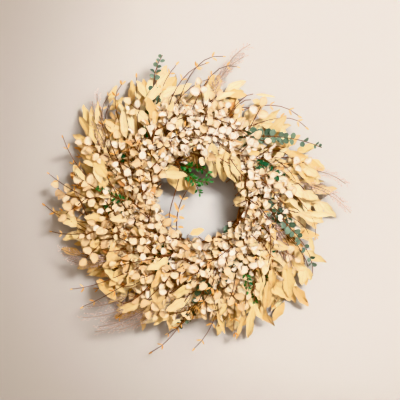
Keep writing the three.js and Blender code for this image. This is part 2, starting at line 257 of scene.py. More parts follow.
class Use(Enum):
    """What a draw is for."""

    SPREAD = 1
    LIFT = 2
    ROLL = 3
    SIZE = 4
    VARIANT = 5
    TONE = 6
    TWIG_PLACE = 7
    WARMTH = 8
    STEM_TONE = 9
    SPRAY_TONE = 11
    SPRAY_SIZE = 12


# Lines


def radial(degrees: float, radius: float = 1, height: float = 0) -> Vector:
    """The place at an angle on the ring, a radius and a height."""
    turn = math.radians(degrees)
    return Vector((radius * math.cos(turn), radius * math.sin(turn), height))


def clockwise(degrees: float) -> Vector:
    """The way clockwise round the ring, seen from the front, at an angle on it."""
    return radial(degrees - 90)


def draw(spray: int, leaf: int, use: Use) -> float:
    """A repeatable number from 0 to 1 for a spray, a leaf on it and what it is for."""
    by_spray, by_leaf, by_use = DRAW_WEIGHTS
    wave = math.sin(spray * by_spray + leaf * by_leaf + use.value * by_use) * DRAW_SCALE
    return wave - math.floor(wave)


@dataclass(frozen=True)
class Stance:
    """A place on a line: the way the line runs there, its level side and what is above."""

    at: Vector
    way: Vector
    side: Vector
    above: Vector


@dataclass(frozen=True)
class StemLine:
    """The centre line of a stem: a cubic curve that starts and ends along two ways."""

    start: Vector
    leaving: Vector
    arriving: Vector
    end: Vector

    def at(self, t: float) -> Vector:
        """The place at a share t of the line."""
        s = 1 - t
        first = self.start * s**3 + self.leaving * (3 * s * s * t)
        return first + self.arriving * (3 * s * t * t) + self.end * t**3

    def way(self, t: float) -> Vector:
        """The way in which the line runs at a share t of it."""
        s = 1 - t
        first = (self.leaving - self.start) * (s * s)
        middle = (self.arriving - self.leaving) * (2 * s * t)
        return (first + middle + (self.end - self.arriving) * (t * t)).normalized()

    def stance(self, t: float) -> Stance:
        """How the line stands at a share t of it."""
        way = self.way(t)
        side = way.cross(UP).normalized()
        return Stance(self.at(t), way, side, side.cross(way))

    def bar_stance(self, steps: int, t: float) -> Stance:
        """The same on a bar of straight steps along the line, whose middle lies inside it.

        Args:
            steps: How many straight steps the bar has.
            t: The share of the line.

        Returns:
            The stance there, its place on the bar.
        """
        step = min(math.floor(t * steps), steps - 1)
        near, far = self.at(step / steps), self.at((step + 1) / steps)
        return replace(self.stance(t), at=near.lerp(far, t * steps - step))

    @cached_property
    def length(self) -> float:
        """The line's length."""
        places = [self.at(i / LENGTH_STEPS) for i in range(LENGTH_STEPS + 1)]
        return sum((b - a).length for a, b in zip(places, places[1:]))


def straight(start: Vector, end: Vector) -> StemLine:
    """A straight line from one place to another."""
    return StemLine(start, start.lerp(end, 1 / 3), start.lerp(end, 2 / 3), end)


def vine_side(vine: int, degrees: float) -> float:
    """The angle round the ring's section at which a vine lies, at an angle on the ring."""
    return 360 * vine / VINES - 90 + VINE_TWISTS * degrees


def seat_side(root: float, side: float) -> float:
    """The side at which a stem meets the middle of a vine, nearest to the one it wants."""
    turns = [(vine_side(vine, root) - side + 180) % 360 - 180 for vine in range(VINES)]
    return side + min(turns, key=abs)


def rooted(root: float, side: float) -> tuple[Vector, Vector]:
    """Where a stem starts, at the bottom of its socket.

    Args:
        root: The angle on the ring.
        side: The side of the ring's section that the stem wants.

    Returns:
        The place, and the way in which the stem leaves it.
    """
    seat = math.radians(seat_side(root, side))
    away = radial(root) * math.cos(seat) + UP * math.sin(seat)
    start = radial(root, RING_RADIUS, RING_HEIGHT) + away * SOCKET_DEPTH
    return start, away * LEAVING_AWAY + clockwise(root) * LEAVING_ALONG


def leaf_place(base: Vector, way: Vector, roll: float, size: float, breadth: float = 1) -> Matrix:
    """The place of a leaf whose face is upwards but for its roll.

    Args:
        base: Where its root is.
        way: The way in which it points, of length 1.
        roll: Its turn about that way, in radians.
        size: Its size beside its full size.
        breadth: Its width beside its own at that size.

    Returns:
        The matrix from the leaf's own frame, in millimetres.
    """
    face = (UP - way * UP.dot(way)).normalized()
    turn = Matrix.Rotation(roll, 3, way)
    across, face = turn @ face.cross(way), turn @ face
    columns = (way * size, across * (size * breadth), face * size)
    return Matrix.Translation(base) @ Matrix(columns).transposed().to_4x4()


def ring_distance(place: Vector) -> float:
    """How far a place is from the centre line of the ring's section."""
    return math.hypot(math.hypot(place.x, place.y) - RING_RADIUS, place.z - RING_HEIGHT)


def outline(degrees: float) -> float:
    """The reach of the wreath's body at an angle, smooth between the OUTLINE's points."""
    step = (degrees % 360) / 360 * len(OUTLINE)
    near, share = int(step), step % 1
    ease = (1 - math.cos(math.pi * share)) / 2
    return OUTLINE[near % len(OUTLINE)] * (1 - ease) + OUTLINE[(near + 1) % len(OUTLINE)] * ease


# Building shapes


def add(piece: Shape, pattern: bpy.types.Mesh) -> list[bmesh.types.BMVert]:
    """Adds a copy of a pattern to a piece.

    Args:
        piece: The piece that grows.
        pattern: The shape that is repeated.

    Returns:
        The new vertices.
    """
    before = len(piece.verts)
    piece.from_mesh(pattern)
    piece.verts.ensure_lookup_table()
    return piece.verts[before:]


def new_shape() -> Shape:
    """An empty piece with room for a UV map and the leaves' values."""
    shape = bmesh.new()
    shape.loops.layers.uv.new(UV_NAME)
    shape.verts.layers.float_color.new(LEAF_VALUES)
    return shape


def kept(shape: Shape, name: str) -> bpy.types.Mesh:
    """A mesh of a finished shape, which is freed."""
    mesh = bpy.data.meshes.new(name)
    bmesh.ops.recalc_face_normals(shape, faces=shape.faces)
    shape.to_mesh(mesh)
    shape.free()
    return mesh


@lru_cache(maxsize=None)
def rod_pattern(steps: int, sides: int) -> bpy.types.Mesh:
    """A closed rod of length 1 and radius 1 along +X, rolled from a grid.

    Args:
        steps: How many steps it has along its length.
        sides: How many sides it has.

    Returns:
        The rod, whose UV map runs along it and then round it.
    """
    shape = new_shape()
    columns = steps + 2
    bmesh.ops.create_grid(shape, x_segments=columns, y_segments=sides, size=0.5, calc_uvs=True)
    for vert in shape.verts:
        column = round((vert.co.x + 0.5) * columns)
        radius = 0 if column in (0, columns) else 1
        turn = (vert.co.y + 0.5) * TURN
        along = min(max(column - 1, 0), steps) / steps
        vert.co = (along, radius * math.cos(turn), radius * math.sin(turn))
    bmesh.ops.remove_doubles(shape, verts=shape.verts, dist=JOIN_WITHIN)
    for face in shape.faces:
        face.smooth = True
        face.material_index = Part.STEM.value
    return kept(shape, f"rod_{steps}_{sides}")


def add_rod(
    piece: Shape,
    line: StemLine,
    radii: Pair,
    steps: int,
    sides: int,
    tone: float = 0.5,
) -> None:
    """Adds a stem along a line, thinner towards its end.

    Args:
        piece: The piece that grows.
        line: The line that it follows.
        radii: Its radius at its root and at its tip.
        steps: How many steps it has.
        sides: How many sides it has.
        tone: How pale it is, from 0 to 1.
    """
    values = piece.verts.layers.float_color[LEAF_VALUES]
    stances: dict[int, Stance] = {}
    for vert in add(piece, rod_pattern(steps, sides)):
        along, across, above = vert.co
        step = round(along * steps)
        if step not in stances:
            stances[step] = line.stance(step / steps)
        stance = stances[step]
        radius = radii[0] + (radii[1] - radii[0]) * along
        vert.co = stance.at + stance.side * (across * radius) + stance.above * (above * radius)
        vert[values] = (tone, 0.5, 0, 0)


@lru_cache(maxsize=None)
def seed_pattern() -> bpy.types.Mesh:
    """A closed seed of length 2 and width 2 along +X, of a few faces."""
    shape = new_shape()
    bmesh.ops.create_uvsphere(shape, u_segments=5, v_segments=3, radius=1)
    bmesh.ops.rotate(shape, matrix=Matrix.Rotation(math.pi / 2, 3, "Y"), verts=shape.verts)
    for face in shape.faces:
        face.smooth = True
        face.material_index = Part.SEED.value
    return kept(shape, "seed")


# Leaves and kinds of spray


@dataclass(frozen=True)
class Leaf:
    """One kind of leaf: a thin closed blade along +X, its petiole's root at the origin.

    A packed blade's length, width, petiole, taper and curl are those in the frame.
    """

    length: float
    width: float
    petiole: float
    taper: float
    curl: float
    cup: float
    points: int = 14
    rings: int = 4
    thick: float = 0.6
    slender: float = 1.0
    fold: float = 0.08
    wave: float = 0.0
    waves: float = 1.5
    twist: float = 0.0
    lobes: float = 0.0
    narrow: float = 0.0
    variants: int = 8
    petiole_half: float = 0.55
    base_angle: float = 18

    def tip(self) -> Vector:
        """The place of its tip."""
        return Vector((self.length, 0, -self.curl * self.length))

    def angle(self, step: int) -> float:
        """The angle round the blade of a step round its outline, from the root."""
        base = math.radians(self.base_angle)
        if abs(step) < 2:
            return step * base / 2
        share = (abs(step) - 2) / (self.points / 2 - 2)
        return math.copysign(base + (math.pi - base) * share, step)

    def shaped(self, co: Vector, luck: random.Random) -> tuple[Vector, float, float, float]:
        """Where a point of a unit ball goes on the blade.

        Args:
            co: The point on the ball, whose equator becomes the blade's outline.
            luck: What sets this variant apart, in the same state for each point.

        Returns:
            Its place, its share of the length, its share of the half width there, and how
            near the rim it is.
        """
        bow, hollow = luck.uniform(-1, 1), luck.uniform(*HOLLOW_RANGE)
        crease, phase = luck.uniform(*CREASE_RANGE), luck.random()
        lean, turn = luck.uniform(-LEAN, LEAN), luck.uniform(-1, 1)
        breadth = 1 - self.narrow * luck.random()
        near = min(math.hypot(co.x, co.y), 1)
        step = round(math.atan2(co.y, -co.x) / TURN * self.points) if near > NOUGHT else 0
        angle = self.angle(step)
        along, across = -near * math.cos(angle), near * math.sin(angle)
        start = self.petiole / self.length
        share = start + (1 - start) * (1 + along) / 2
        half = breadth * self.width / 2 * abs(across) ** self.slender
        half *= 1 - self.taper * share * share
        apart = math.copysign(LOBES_APART, across)
        half *= 1 + self.lobes * math.sin(TURN * (LOBES_ALONG * share + phase) + apart)
        if near > RIM and abs(step) < 2:
            share = start * abs(step)
            half = self.petiole_half * abs(step)
        limit = math.sqrt(max(1 - along * along, 1e-4))
        side = math.copysign(1, across) if abs(across) > 1e-6 else 0
        rise = self.cup * hollow * self.width / 2 * across * across
        rise += self.fold * crease * half
        rise += self.wave * half * math.sin(TURN * (self.waves * share + phase) + side)
        rise += bow * BOW * self.length * math.sin(math.pi * share)
        skin = math.copysign(self.thick / 2, co.z) * math.sqrt(max(1 - near * near, 0))
        lateral = side * half * (1 + lean * side)
        roll = turn * self.twist * (share - start)
        place = Vector((
            self.length * share,
            lateral * math.cos(roll) - rise * math.sin(roll),
            lateral * math.sin(roll) + rise * math.cos(roll) + skin,
        ))
        place.z -= self.curl * self.length * share * share
        return place, share, 0.5 + 0.5 * min(max(across / limit, -1), 1), near

    def blade(self, variant: int) -> bpy.types.Mesh:
        """One of the variants of this leaf, as a closed mesh with a sharp rim."""
        shape = new_shape()
        uv = shape.loops.layers.uv[UV_NAME]
        values = shape.verts.layers.float_color[LEAF_VALUES]
        bmesh.ops.create_uvsphere(shape, u_segments=self.points, v_segments=self.rings, radius=1)
        across: dict[bmesh.types.BMVert, Pair] = {}
        for vert in shape.verts:
            luck = random.Random(variant * BLADE_LUCK + round(self.length))
            face = 0 if vert.co.z > NOUGHT else 1 if vert.co.z < -NOUGHT else 0.5
            place, share, beside, near = self.shaped(vert.co, luck)
            vert.co = place
            vert[values] = (0.5, 0.5, face, near)
            across[vert] = (share, beside)
        for face in shape.faces:
            face.smooth = True
            face.material_index = Part.LEAF.value
            for loop in face.loops:
                loop[uv].uv = across[loop.vert]
        for edge in shape.edges:
            edge.smooth = not all(vert[values][3] > RIM for vert in edge.verts)
        return kept(shape, f"leaf_{round(self.length)}_{variant}")

    @cached_property
    def blades(self) -> list[bpy.types.Mesh]:
        """All its variants."""
        return [self.blade(variant) for variant in range(self.variants)]


@dataclass(frozen=True)
class SeedBranch(Leaf):
    """A plume's branch in a leaf's place: a fine stalk with side stalks and tiny seeds."""

    stalk: float = 0.32
    stalk_end: float = 0.6
    stalk_steps: int = 4
    stalk_sides: int = 3
    sag: float = 2
    handle: float = 0.4
    side_stalks: int = 7
    side_from: float = 0.22
    side_over: float = 0.7
    side_stray: float = 0.06
    side_reach: Pair = (0.16, 0.26)
    side_way: Pair = (0.8, 0.6)
    side_radii: Pair = (0.7, 0.5)
    seed_length: float = 2.8
    seed_width: float = 1.5
    seed_above: float = 0.8
    variants: int = 5

    def seed(self, shape: Shape, at: Vector, way: Vector) -> None:
        """Adds one seed at a place, pointing along a way."""
        turn = way.to_track_quat("X", "Z").to_matrix().to_4x4()
        size = Matrix.Diagonal((self.seed_length / 2, self.seed_width / 2, self.seed_width / 2, 1))
        place = Matrix.Translation(at) @ turn @ size
        bmesh.ops.transform(shape, matrix=place, verts=add(shape, seed_pattern()))

    def blade(self, variant: int) -> bpy.types.Mesh:
        """One of the variants of this branch."""
        luck = random.Random(variant * BRANCH_LUCK + 5)
        shape = new_shape()
        aside, above = luck.uniform(-self.sag, self.sag), luck.uniform(0, self.sag)
        middle = Vector((0.5 * self.length, aside, above))
        near, far = middle * (1 - self.handle), middle * (1 + self.handle)
        main = StemLine(Vector(), near, far, self.tip())
        radii = (self.stalk, self.stalk * self.stalk_end)
        add_rod(shape, main, radii, self.stalk_steps, self.stalk_sides)
        self.seed(shape, main.at(1), main.way(1))
        for i in range(self.side_stalks):
            t = self.side_from + self.side_over * i / self.side_stalks
            stance = main.stance(t + luck.uniform(0, self.side_stray))
            turn = Matrix.Rotation(luck.uniform(0, TURN), 3, stance.way)
            along, aside = stance.way * self.side_way[0], turn @ stance.side * self.side_way[1]
            out = (along + aside).normalized()
            reach = self.length * luck.uniform(*self.side_reach)
            twig = straight(stance.at, stance.at + out * reach)
            radii = tuple(self.stalk * share for share in self.side_radii)
            add_rod(shape, twig, radii, 1, self.stalk_sides)
            self.seed(shape, twig.at(1), out)
            beside = twig.at(0.5) + stance.above * self.seed_above
            self.seed(shape, beside, (out + stance.above).normalized())
        return kept(shape, f"seed_branch_{variant}")


@dataclass(frozen=True)
class SprayKind:
    """How one kind of spray grows: its stem, its leaves and how they stand on it.

    `stem` holds the radii at its root and tip and `steps` its straight steps. A leaf stands
    at an angle of `spread`, the last are smaller by `shrink`, and a share `bare` of the stem
    has none. `apart` is the gap between leaves or pairs that fill a bare stem, `room` what a
    leaf keeps free round its middle, `clear` the height kept free over it, `tilt` how far
    its face leans towards the stem's tip, and `edge` how far the last leaves stand on edge.
    """

    stem: Pair
    steps: int
    leaf: Leaf
    spread: float
    shrink: float
    bare: float
    pairs: bool
    slot: str
    apart: float
    room: float
    tilt: float = 0
    clear: float = 0
    edge: float = 0


GOLD_SPRAY = SprayKind(
    (1.9, 0.8), 5,
    Leaf(74, 27, 9, 0.45, 0.12, 0.12, points=18, thick=0.7, slender=1.25, fold=0.2,
         wave=0.32, waves=2, twist=1.0, lobes=0.2, petiole_half=0.8, base_angle=14),
    34, 0.25, 0.42, False, "gold_leaf", 26, 9,
)
BROAD_LEAF = replace(GOLD_SPRAY.leaf, length=76, width=33, taper=0.4, curl=0.14, cup=0.1,
                     slender=1.15, fold=0.22, wave=0.3, twist=0.9, lobes=0.16, narrow=0.3)
LAID_LEAF = replace(BROAD_LEAF, curl=0.2, fold=0.2, wave=0.26, twist=0.45, narrow=0.1)

KINDS = {
    Kind.GOLD: GOLD_SPRAY,
    Kind.BROAD: replace(GOLD_SPRAY, leaf=BROAD_LEAF, shrink=0.2),
    Kind.LAID: replace(GOLD_SPRAY, leaf=LAID_LEAF, shrink=0.2, stem=(1.1, 0.8)),
    Kind.CREAM: SprayKind(
        (1.7, 0.8), 5,
        Leaf(27, 22, 3, 0.1, 0.05, 0.25, wave=0.16, fold=0.44, lobes=0.09, narrow=0.15),
        58, 0.2, 0.1, True, "cream_leaf", 17, 9.5,
    ),
    Kind.GREEN: SprayKind(
        (1.6, 0.7), 6, Leaf(27, 23, 3, 0.1, 0.05, 0.15, wave=0.05, fold=0.12),
        56, 0.62, 0.16, True, "green_leaf", 13, 6, clear=36, edge=30,
    ),
    Kind.SPRIG: SprayKind(
        (1.3, 0.7), 5, Leaf(15, 8, 2, 0.3, 0.1, 0.1, points=10, thick=0.5, fold=0.3),
        52, 0.25, 0.25, True, "sprig_leaf", 9, 3.5, clear=20,
    ),
    Kind.TWIG: SprayKind(
        (1.3, 0.6), 7, Leaf(17, 6, 2, 0.4, 0.1, 0.1, points=10, thick=0.5, fold=0.3, twist=0.6),
        48, 0.3, 0.62, True, "twig", 60, 3,
    ),
    Kind.PLUME: SprayKind(
        (1.3, 0.6), 5, SeedBranch(28, 3.2, 6, 0.5, 0.15, 0),
        30, 0.45, 0.32, False, "plume", 4.6, 0.5,
    ),
    Kind.PALE: SprayKind(
        (1.5, 0.8), 5,
        Leaf(24, 20, 3, 0.05, 0.05, 0.28, wave=0.2, fold=0.4, lobes=0.1, narrow=0.4),
        70, 0.25, 0.1, True, "cream_leaf", 13, 6.8, tilt=42,
    ),
    Kind.TAN: SprayKind(
        (1.4, 0.7), 5,
        Leaf(34, 15, 4, 0.3, 0.12, 0.15, points=12, slender=1.2, fold=0.3, wave=0.15, twist=0.8),
        46, 0.25, 0.15, True, "cream_leaf", 14, 6, tilt=15,
    ),
    Kind.DARK: SprayKind(
        (1.3, 0.7), 5, Leaf(18, 12, 2, 0.2, 0.1, 0.1, points=10, fold=0.3),
        52, 0.25, 0.25, True, "sprig_leaf", 9, 5,
    ),
}


# Sprays and laid leaves, as they are tucked in


@dataclass(frozen=True)
class Spray:
    """One spray: where it is tucked in, where its last leaf ends and how it bends.

    `root` is an angle on the ring, `side` one round the ring's section (0 outwards, 90 to
    the front, 180 inwards), `tip` (across, up, height), and `out` the angle between the
    tip's way and the clockwise sweep. `twigs` are the lengths of its side twigs.
    """

    root: float
    side: float
    tip: Place
    arch: float
    leaves: int
    out: float = 45
    twigs: tuple[float, ...] = ()

    def line(self, kind: SprayKind, arch: float = 0, turn: float = 0) -> StemLine:
        """The line of its stem, with more arch and a turn of its root."""
        start, leaving = rooted(self.root + turn, self.side)
        end = Vector(self.tip)
        heading = clockwise(math.degrees(math.atan2(end.y, end.x)) + self.out)
        end -= heading * (kind.leaf.length * (1 - kind.shrink) * END_LEAF_SHARE)
        bend = (end - start).length * BEND
        rise = UP * (self.arch + arch)
        return StemLine(start, start + leaving * bend, end - heading * bend + rise, end)


@dataclass(frozen=True)
class LaidLeaf:
    """A leaf laid on a stem of its own: its root on the ring, its base and its tip.

    `breadth` is its width beside its kind's and `roll` its turn about its own line.
    """

    root: float
    base: Place
    tip: Place
    breadth: float = 1
    roll: float = 0
    arch: float = 4

    def line(self) -> StemLine:
        """The line of its stem, which ends at its base."""
        start, leaving = rooted(self.root, LAID_SIDE)
        end = Vector(self.base)
        way = (Vector(self.tip) - end).normalized()
        bend = (end - start).length * BEND
        rise = UP * self.arch
        return StemLine(start, start + leaving * bend, end - way * bend * LAID_BEND + rise, end)

    def matrix(self, leaf: Leaf) -> Matrix:
        """The leaf's place, from its base to its tip."""
        base = Vector(self.base)
        way = Vector(self.tip) - base
        size = way.length / leaf.length
        return leaf_place(base, way.normalized(), math.radians(self.roll), size, self.breadth)


BUSHY = {"arch": 26, "leaves": 8, "twigs": (66, 58)}
ROUND_THE_HOLE = {"leaves": 8, "out": 0, "twigs": (50, 50, 46)}

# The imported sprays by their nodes, in the frame's order
SPRAYS = {
    Kind.GOLD: {
        "gold_spray_left_high": Spray(178, 20, (-246, 209, 34), 12, 4),
        "gold_spray_upper_left": Spray(152, 15, (-139, 255, 28), 10, 4),
        "gold_spray_top_left": Spray(137, 25, (-66, 286, 40), 12, 4),
        "gold_spray_top": Spray(102, 15, (103, 255, 30), 10, 4),
        "gold_spray_top_right": Spray(72, 15, (207, 154, 34), 12, 4),
        "gold_spray_right_high": Spray(47, 20, (284, 59, 36), 14, 4),
        "gold_spray_right": Spray(22, 10, (297, -44, 26), 10, 4),
        "gold_spray_right_low": Spray(-7, 20, (231, -196, 34), 12, 4, 35),
        "gold_spray_lower_right": Spray(-22, 10, (207, -231, 22), 10, 4, 55),
        "gold_spray_bottom_right": Spray(-44, 20, (100, -315, 30), 12, 4),
        "gold_spray_bottom": Spray(-62, 10, (48, -306, 22), 10, 3, 70),
        "gold_spray_bottom_left": Spray(-88, 25, (-123, -264, 36), 12, 4),
        "gold_spray_lower_left": Spray(-103, 10, (-182, -257, 24), 10, 4),
        "gold_spray_left_low": Spray(-117, 25, (-227, -185, 34), 12, 4),
        "gold_spray_left": Spray(-152, 10, (-317, -26, 28), 10, 4),
        "gold_spray_left_mid": Spray(-172, 20, (-275, 73, 38), 12, 4),
        "gold_spray_hole_right": Spray(84, 165, (99, 30, 62), 14, 3, -20),
        "gold_spray_hole_left": Spray(168, 118, (-22, 44, 66), 24, 3, -40),
    },
    Kind.CREAM: {
        "cream_spray_left": Spray(-176, 60, (-321, 37, 48), **BUSHY),
        "cream_spray_left_high": Spray(166, 55, (-218, 160, 54), **BUSHY),
        "cream_spray_top_left": Spray(133, 60, (-94, 232, 56), **BUSHY),
        "cream_spray_top": Spray(98, 55, (58, 233, 54), **BUSHY),
        "cream_spray_top_right": Spray(66, 60, (162, 156, 54), **BUSHY),
        "cream_spray_right": Spray(34, 55, (236, 24, 52), **BUSHY),
        "cream_spray_lower_right": Spray(-14, 60, (173, -167, 54), **BUSHY),
        "cream_spray_bottom": Spray(-54, 55, (27, -254, 52), **BUSHY),
        "cream_spray_lower_left": Spray(-97, 60, (-157, -217, 54), **BUSHY),
        "cream_spray_left_low": Spray(-142, 55, (-275, -74, 52), **BUSHY),
        "cream_spray_inner_top": Spray(118, 118, (57, 108, 76), 22, **ROUND_THE_HOLE),
        "cream_spray_inner_right": Spray(52, 112, (127, -18, 78), 20, **ROUND_THE_HOLE),
        "cream_spray_inner_bottom": Spray(-33, 100, (9, -124, 76), 22, **ROUND_THE_HOLE),
        "cream_spray_inner_left": Spray(-108, 118, (-117, -34, 78), 22, **ROUND_THE_HOLE),
        "cream_spray_inner_upper_left": Spray(180, 112, (-78, 99, 80), 22, **ROUND_THE_HOLE),
    },
    Kind.GREEN: {
        "green_spray_top": Spray(134, 40, (-73, 321, 60), 20, 11),
        "green_spray_right_high": Spray(70, 75, (279, 106, 70), 24, 13),
        "green_spray_right_low": Spray(11, 75, (251, -180, 56), 26, 12, 30),
        "green_spray_bottom": Spray(-57, 75, (-57, -293, 54), 24, 11),
    },
    Kind.SPRIG: {
        "sprig_hole": Spray(130, 150, (31, 40, 70), 16, 10, -20),
        "sprig_left": Spray(-168, 85, (-222, 30, 82), 14, 7),
        "sprig_lower_right": Spray(-36, 30, (121, -238, 46), 14, 7),
    },
    Kind.TWIG: {
        "twig_far_left": Spray(-147, 35, (-345, -9, 44), 18, 4),
        "twig_left": Spray(-164, 35, (-299, 143, 64), 24, 4),
        "twig_top_left": Spray(147, 40, (-90, 308, 58), 22, 4, 75),
        "twig_top": Spray(119, 35, (66, 310, 54), 22, 4, 5),
        "twig_right_high": Spray(88, 40, (229, 174, 46), 20, 4, 10),
        "twig_bottom": Spray(-72, 35, (-112, -345, 38), 16, 4),
        "twig_hole": Spray(122, 160, (-37, -75, 50), 10, 4, -170),
    },
    Kind.PLUME: {
        "plume_top_left": Spray(170, 10, (-233, 227, 46), 12, 8),
        "plume_top_right": Spray(94, 35, (128, 345, 42), 14, 8),
        "plume_right": Spray(29, 35, (345, -44, 42), 14, 8),
        "plume_lower_left": Spray(-92, 40, (-242, -297, 38), 16, 8),
        "plume_left": Spray(-127, 35, (-299, -132, 42), 14, 8),
    },
}


# Growing a spray


class PackedSolid:
    """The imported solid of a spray, whose corners tell where its parts went."""

    def __init__(self, node: str) -> None:
        """Sorts the corners of a node of the frame."""
        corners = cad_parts[node].data.vertices
        self.tree = kdtree.KDTree(len(corners))
        for i, corner in enumerate(corners):
            self.tree.insert(corner.co / MM, i)
        self.tree.balance()

    def shows(self, place: Vector) -> bool:
        """Whether the solid has a corner at a place."""
        return self.tree.find(place)[2] < SAME_PLACE

    def share(self, line: StemLine, radii: Pair, steps: Iterable[float]) -> float:
        """How much of a three-sided bar along a line the solid shows.

        Args:
            line: The line of the bar.
            radii: The bar's radius at its root and at its tip.
            steps: The shares of the line at which the bar has corners.

        Returns:
            The share of those corners that the solid has.
        """
        found = []
        for t in steps:
            stance = line.stance(t)
            radius = radii[0] + (radii[1] - radii[0]) * t
            for corner in range(BAR_SIDES):
                turn = TURN * corner / BAR_SIDES
                out = stance.side * math.sin(turn) + stance.above * math.cos(turn)
                found.append(self.shows(stance.at + out * radius))
        return sum(found) / len(found)


class Crowd:
    """Where leaves are already, so that the next ones find room."""

    def __init__(self, cell: float = 20) -> None:
        """Starts empty, with cells of a size over the largest room that is asked for."""
        self.cell = cell
        self.cells: dict[tuple[int, int, int], list[Vector]] = defaultdict(list)

    def key(self, place: Vector) -> tuple[int, int, int]:
        """The cell that a place is in."""
        return tuple(math.floor(c / self.cell) for c in place)

    def has_room(self, places: Iterable[Vector], room: float) -> bool:
        """Whether nothing lies within some room of any of the places."""
        for place in places:
            x, y, z = self.key(place)
            for dx, dy, dz in product((-1, 0, 1), repeat=3):
                for other in self.cells.get((x + dx, y + dy, z + dz), ()):
                    if (other - place).length < room:
                        return False
        return True

    def take(self, places: Iterable[Vector]) -> None:
        """Fills the places."""
        for place in places:
            self.cells[self.key(place)].append(place)


CROWD = Crowd()


@dataclass(frozen=True)
class Shoot:
    """A stem or a side twig: its line, its straight steps, its leaves and its bare share."""

    line: StemLine
    steps: int
    leaves: int
    bare: float
    radii: Pair


@dataclass(frozen=True)
class LeafSite:
    """Where a leaf grows: its share of the shoot, its stance, hand, angles and size."""

    t: float
    stance: Stance
    hand: int
    spread: float
    lift: float
    roll: float
    scale: float
    index: int

    def matrix(self, roll: float = 0, lift: float = 0, scale: float = 1) -> Matrix:
        """The leaf's place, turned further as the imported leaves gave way.

        Args:
            roll: Degrees more of roll about its own line.
            lift: Degrees more of lift.
            scale: Its size beside its full size.

        Returns:
            The matrix from the leaf's own frame, in millimetres.
        """
        rise = self.lift + math.radians(lift)
        stance = self.stance
        out = stance.side * (self.hand * math.cos(rise)) + stance.above * math.sin(rise)
        way = (stance.way * math.cos(self.spread) + out * math.sin(self.spread)).normalized()
        base = stance.at + way * ROOT_OFFSET
        return leaf_place(base, way, self.roll + math.radians(roll), self.scale * scale)


@dataclass(frozen=True)
class Manner:
    """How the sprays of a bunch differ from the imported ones.

    `tone` is how pale their leaves are, `wild` how far the leaves turn, `hole` the radius
    of the hole that they leave open, `clear` the height kept free over the leaves and
    `over_stem` that over the stem. `room` and `stem` are shares of what the kind has: the
    room of a leaf and the radius of a stem.
    """

    tone: float = 0.6
    wild: float = 0
    hole: float = HOLE_RADIUS
    clear: float = 0
    over_stem: float = 0
    room: float = 1
    stem: float = 1


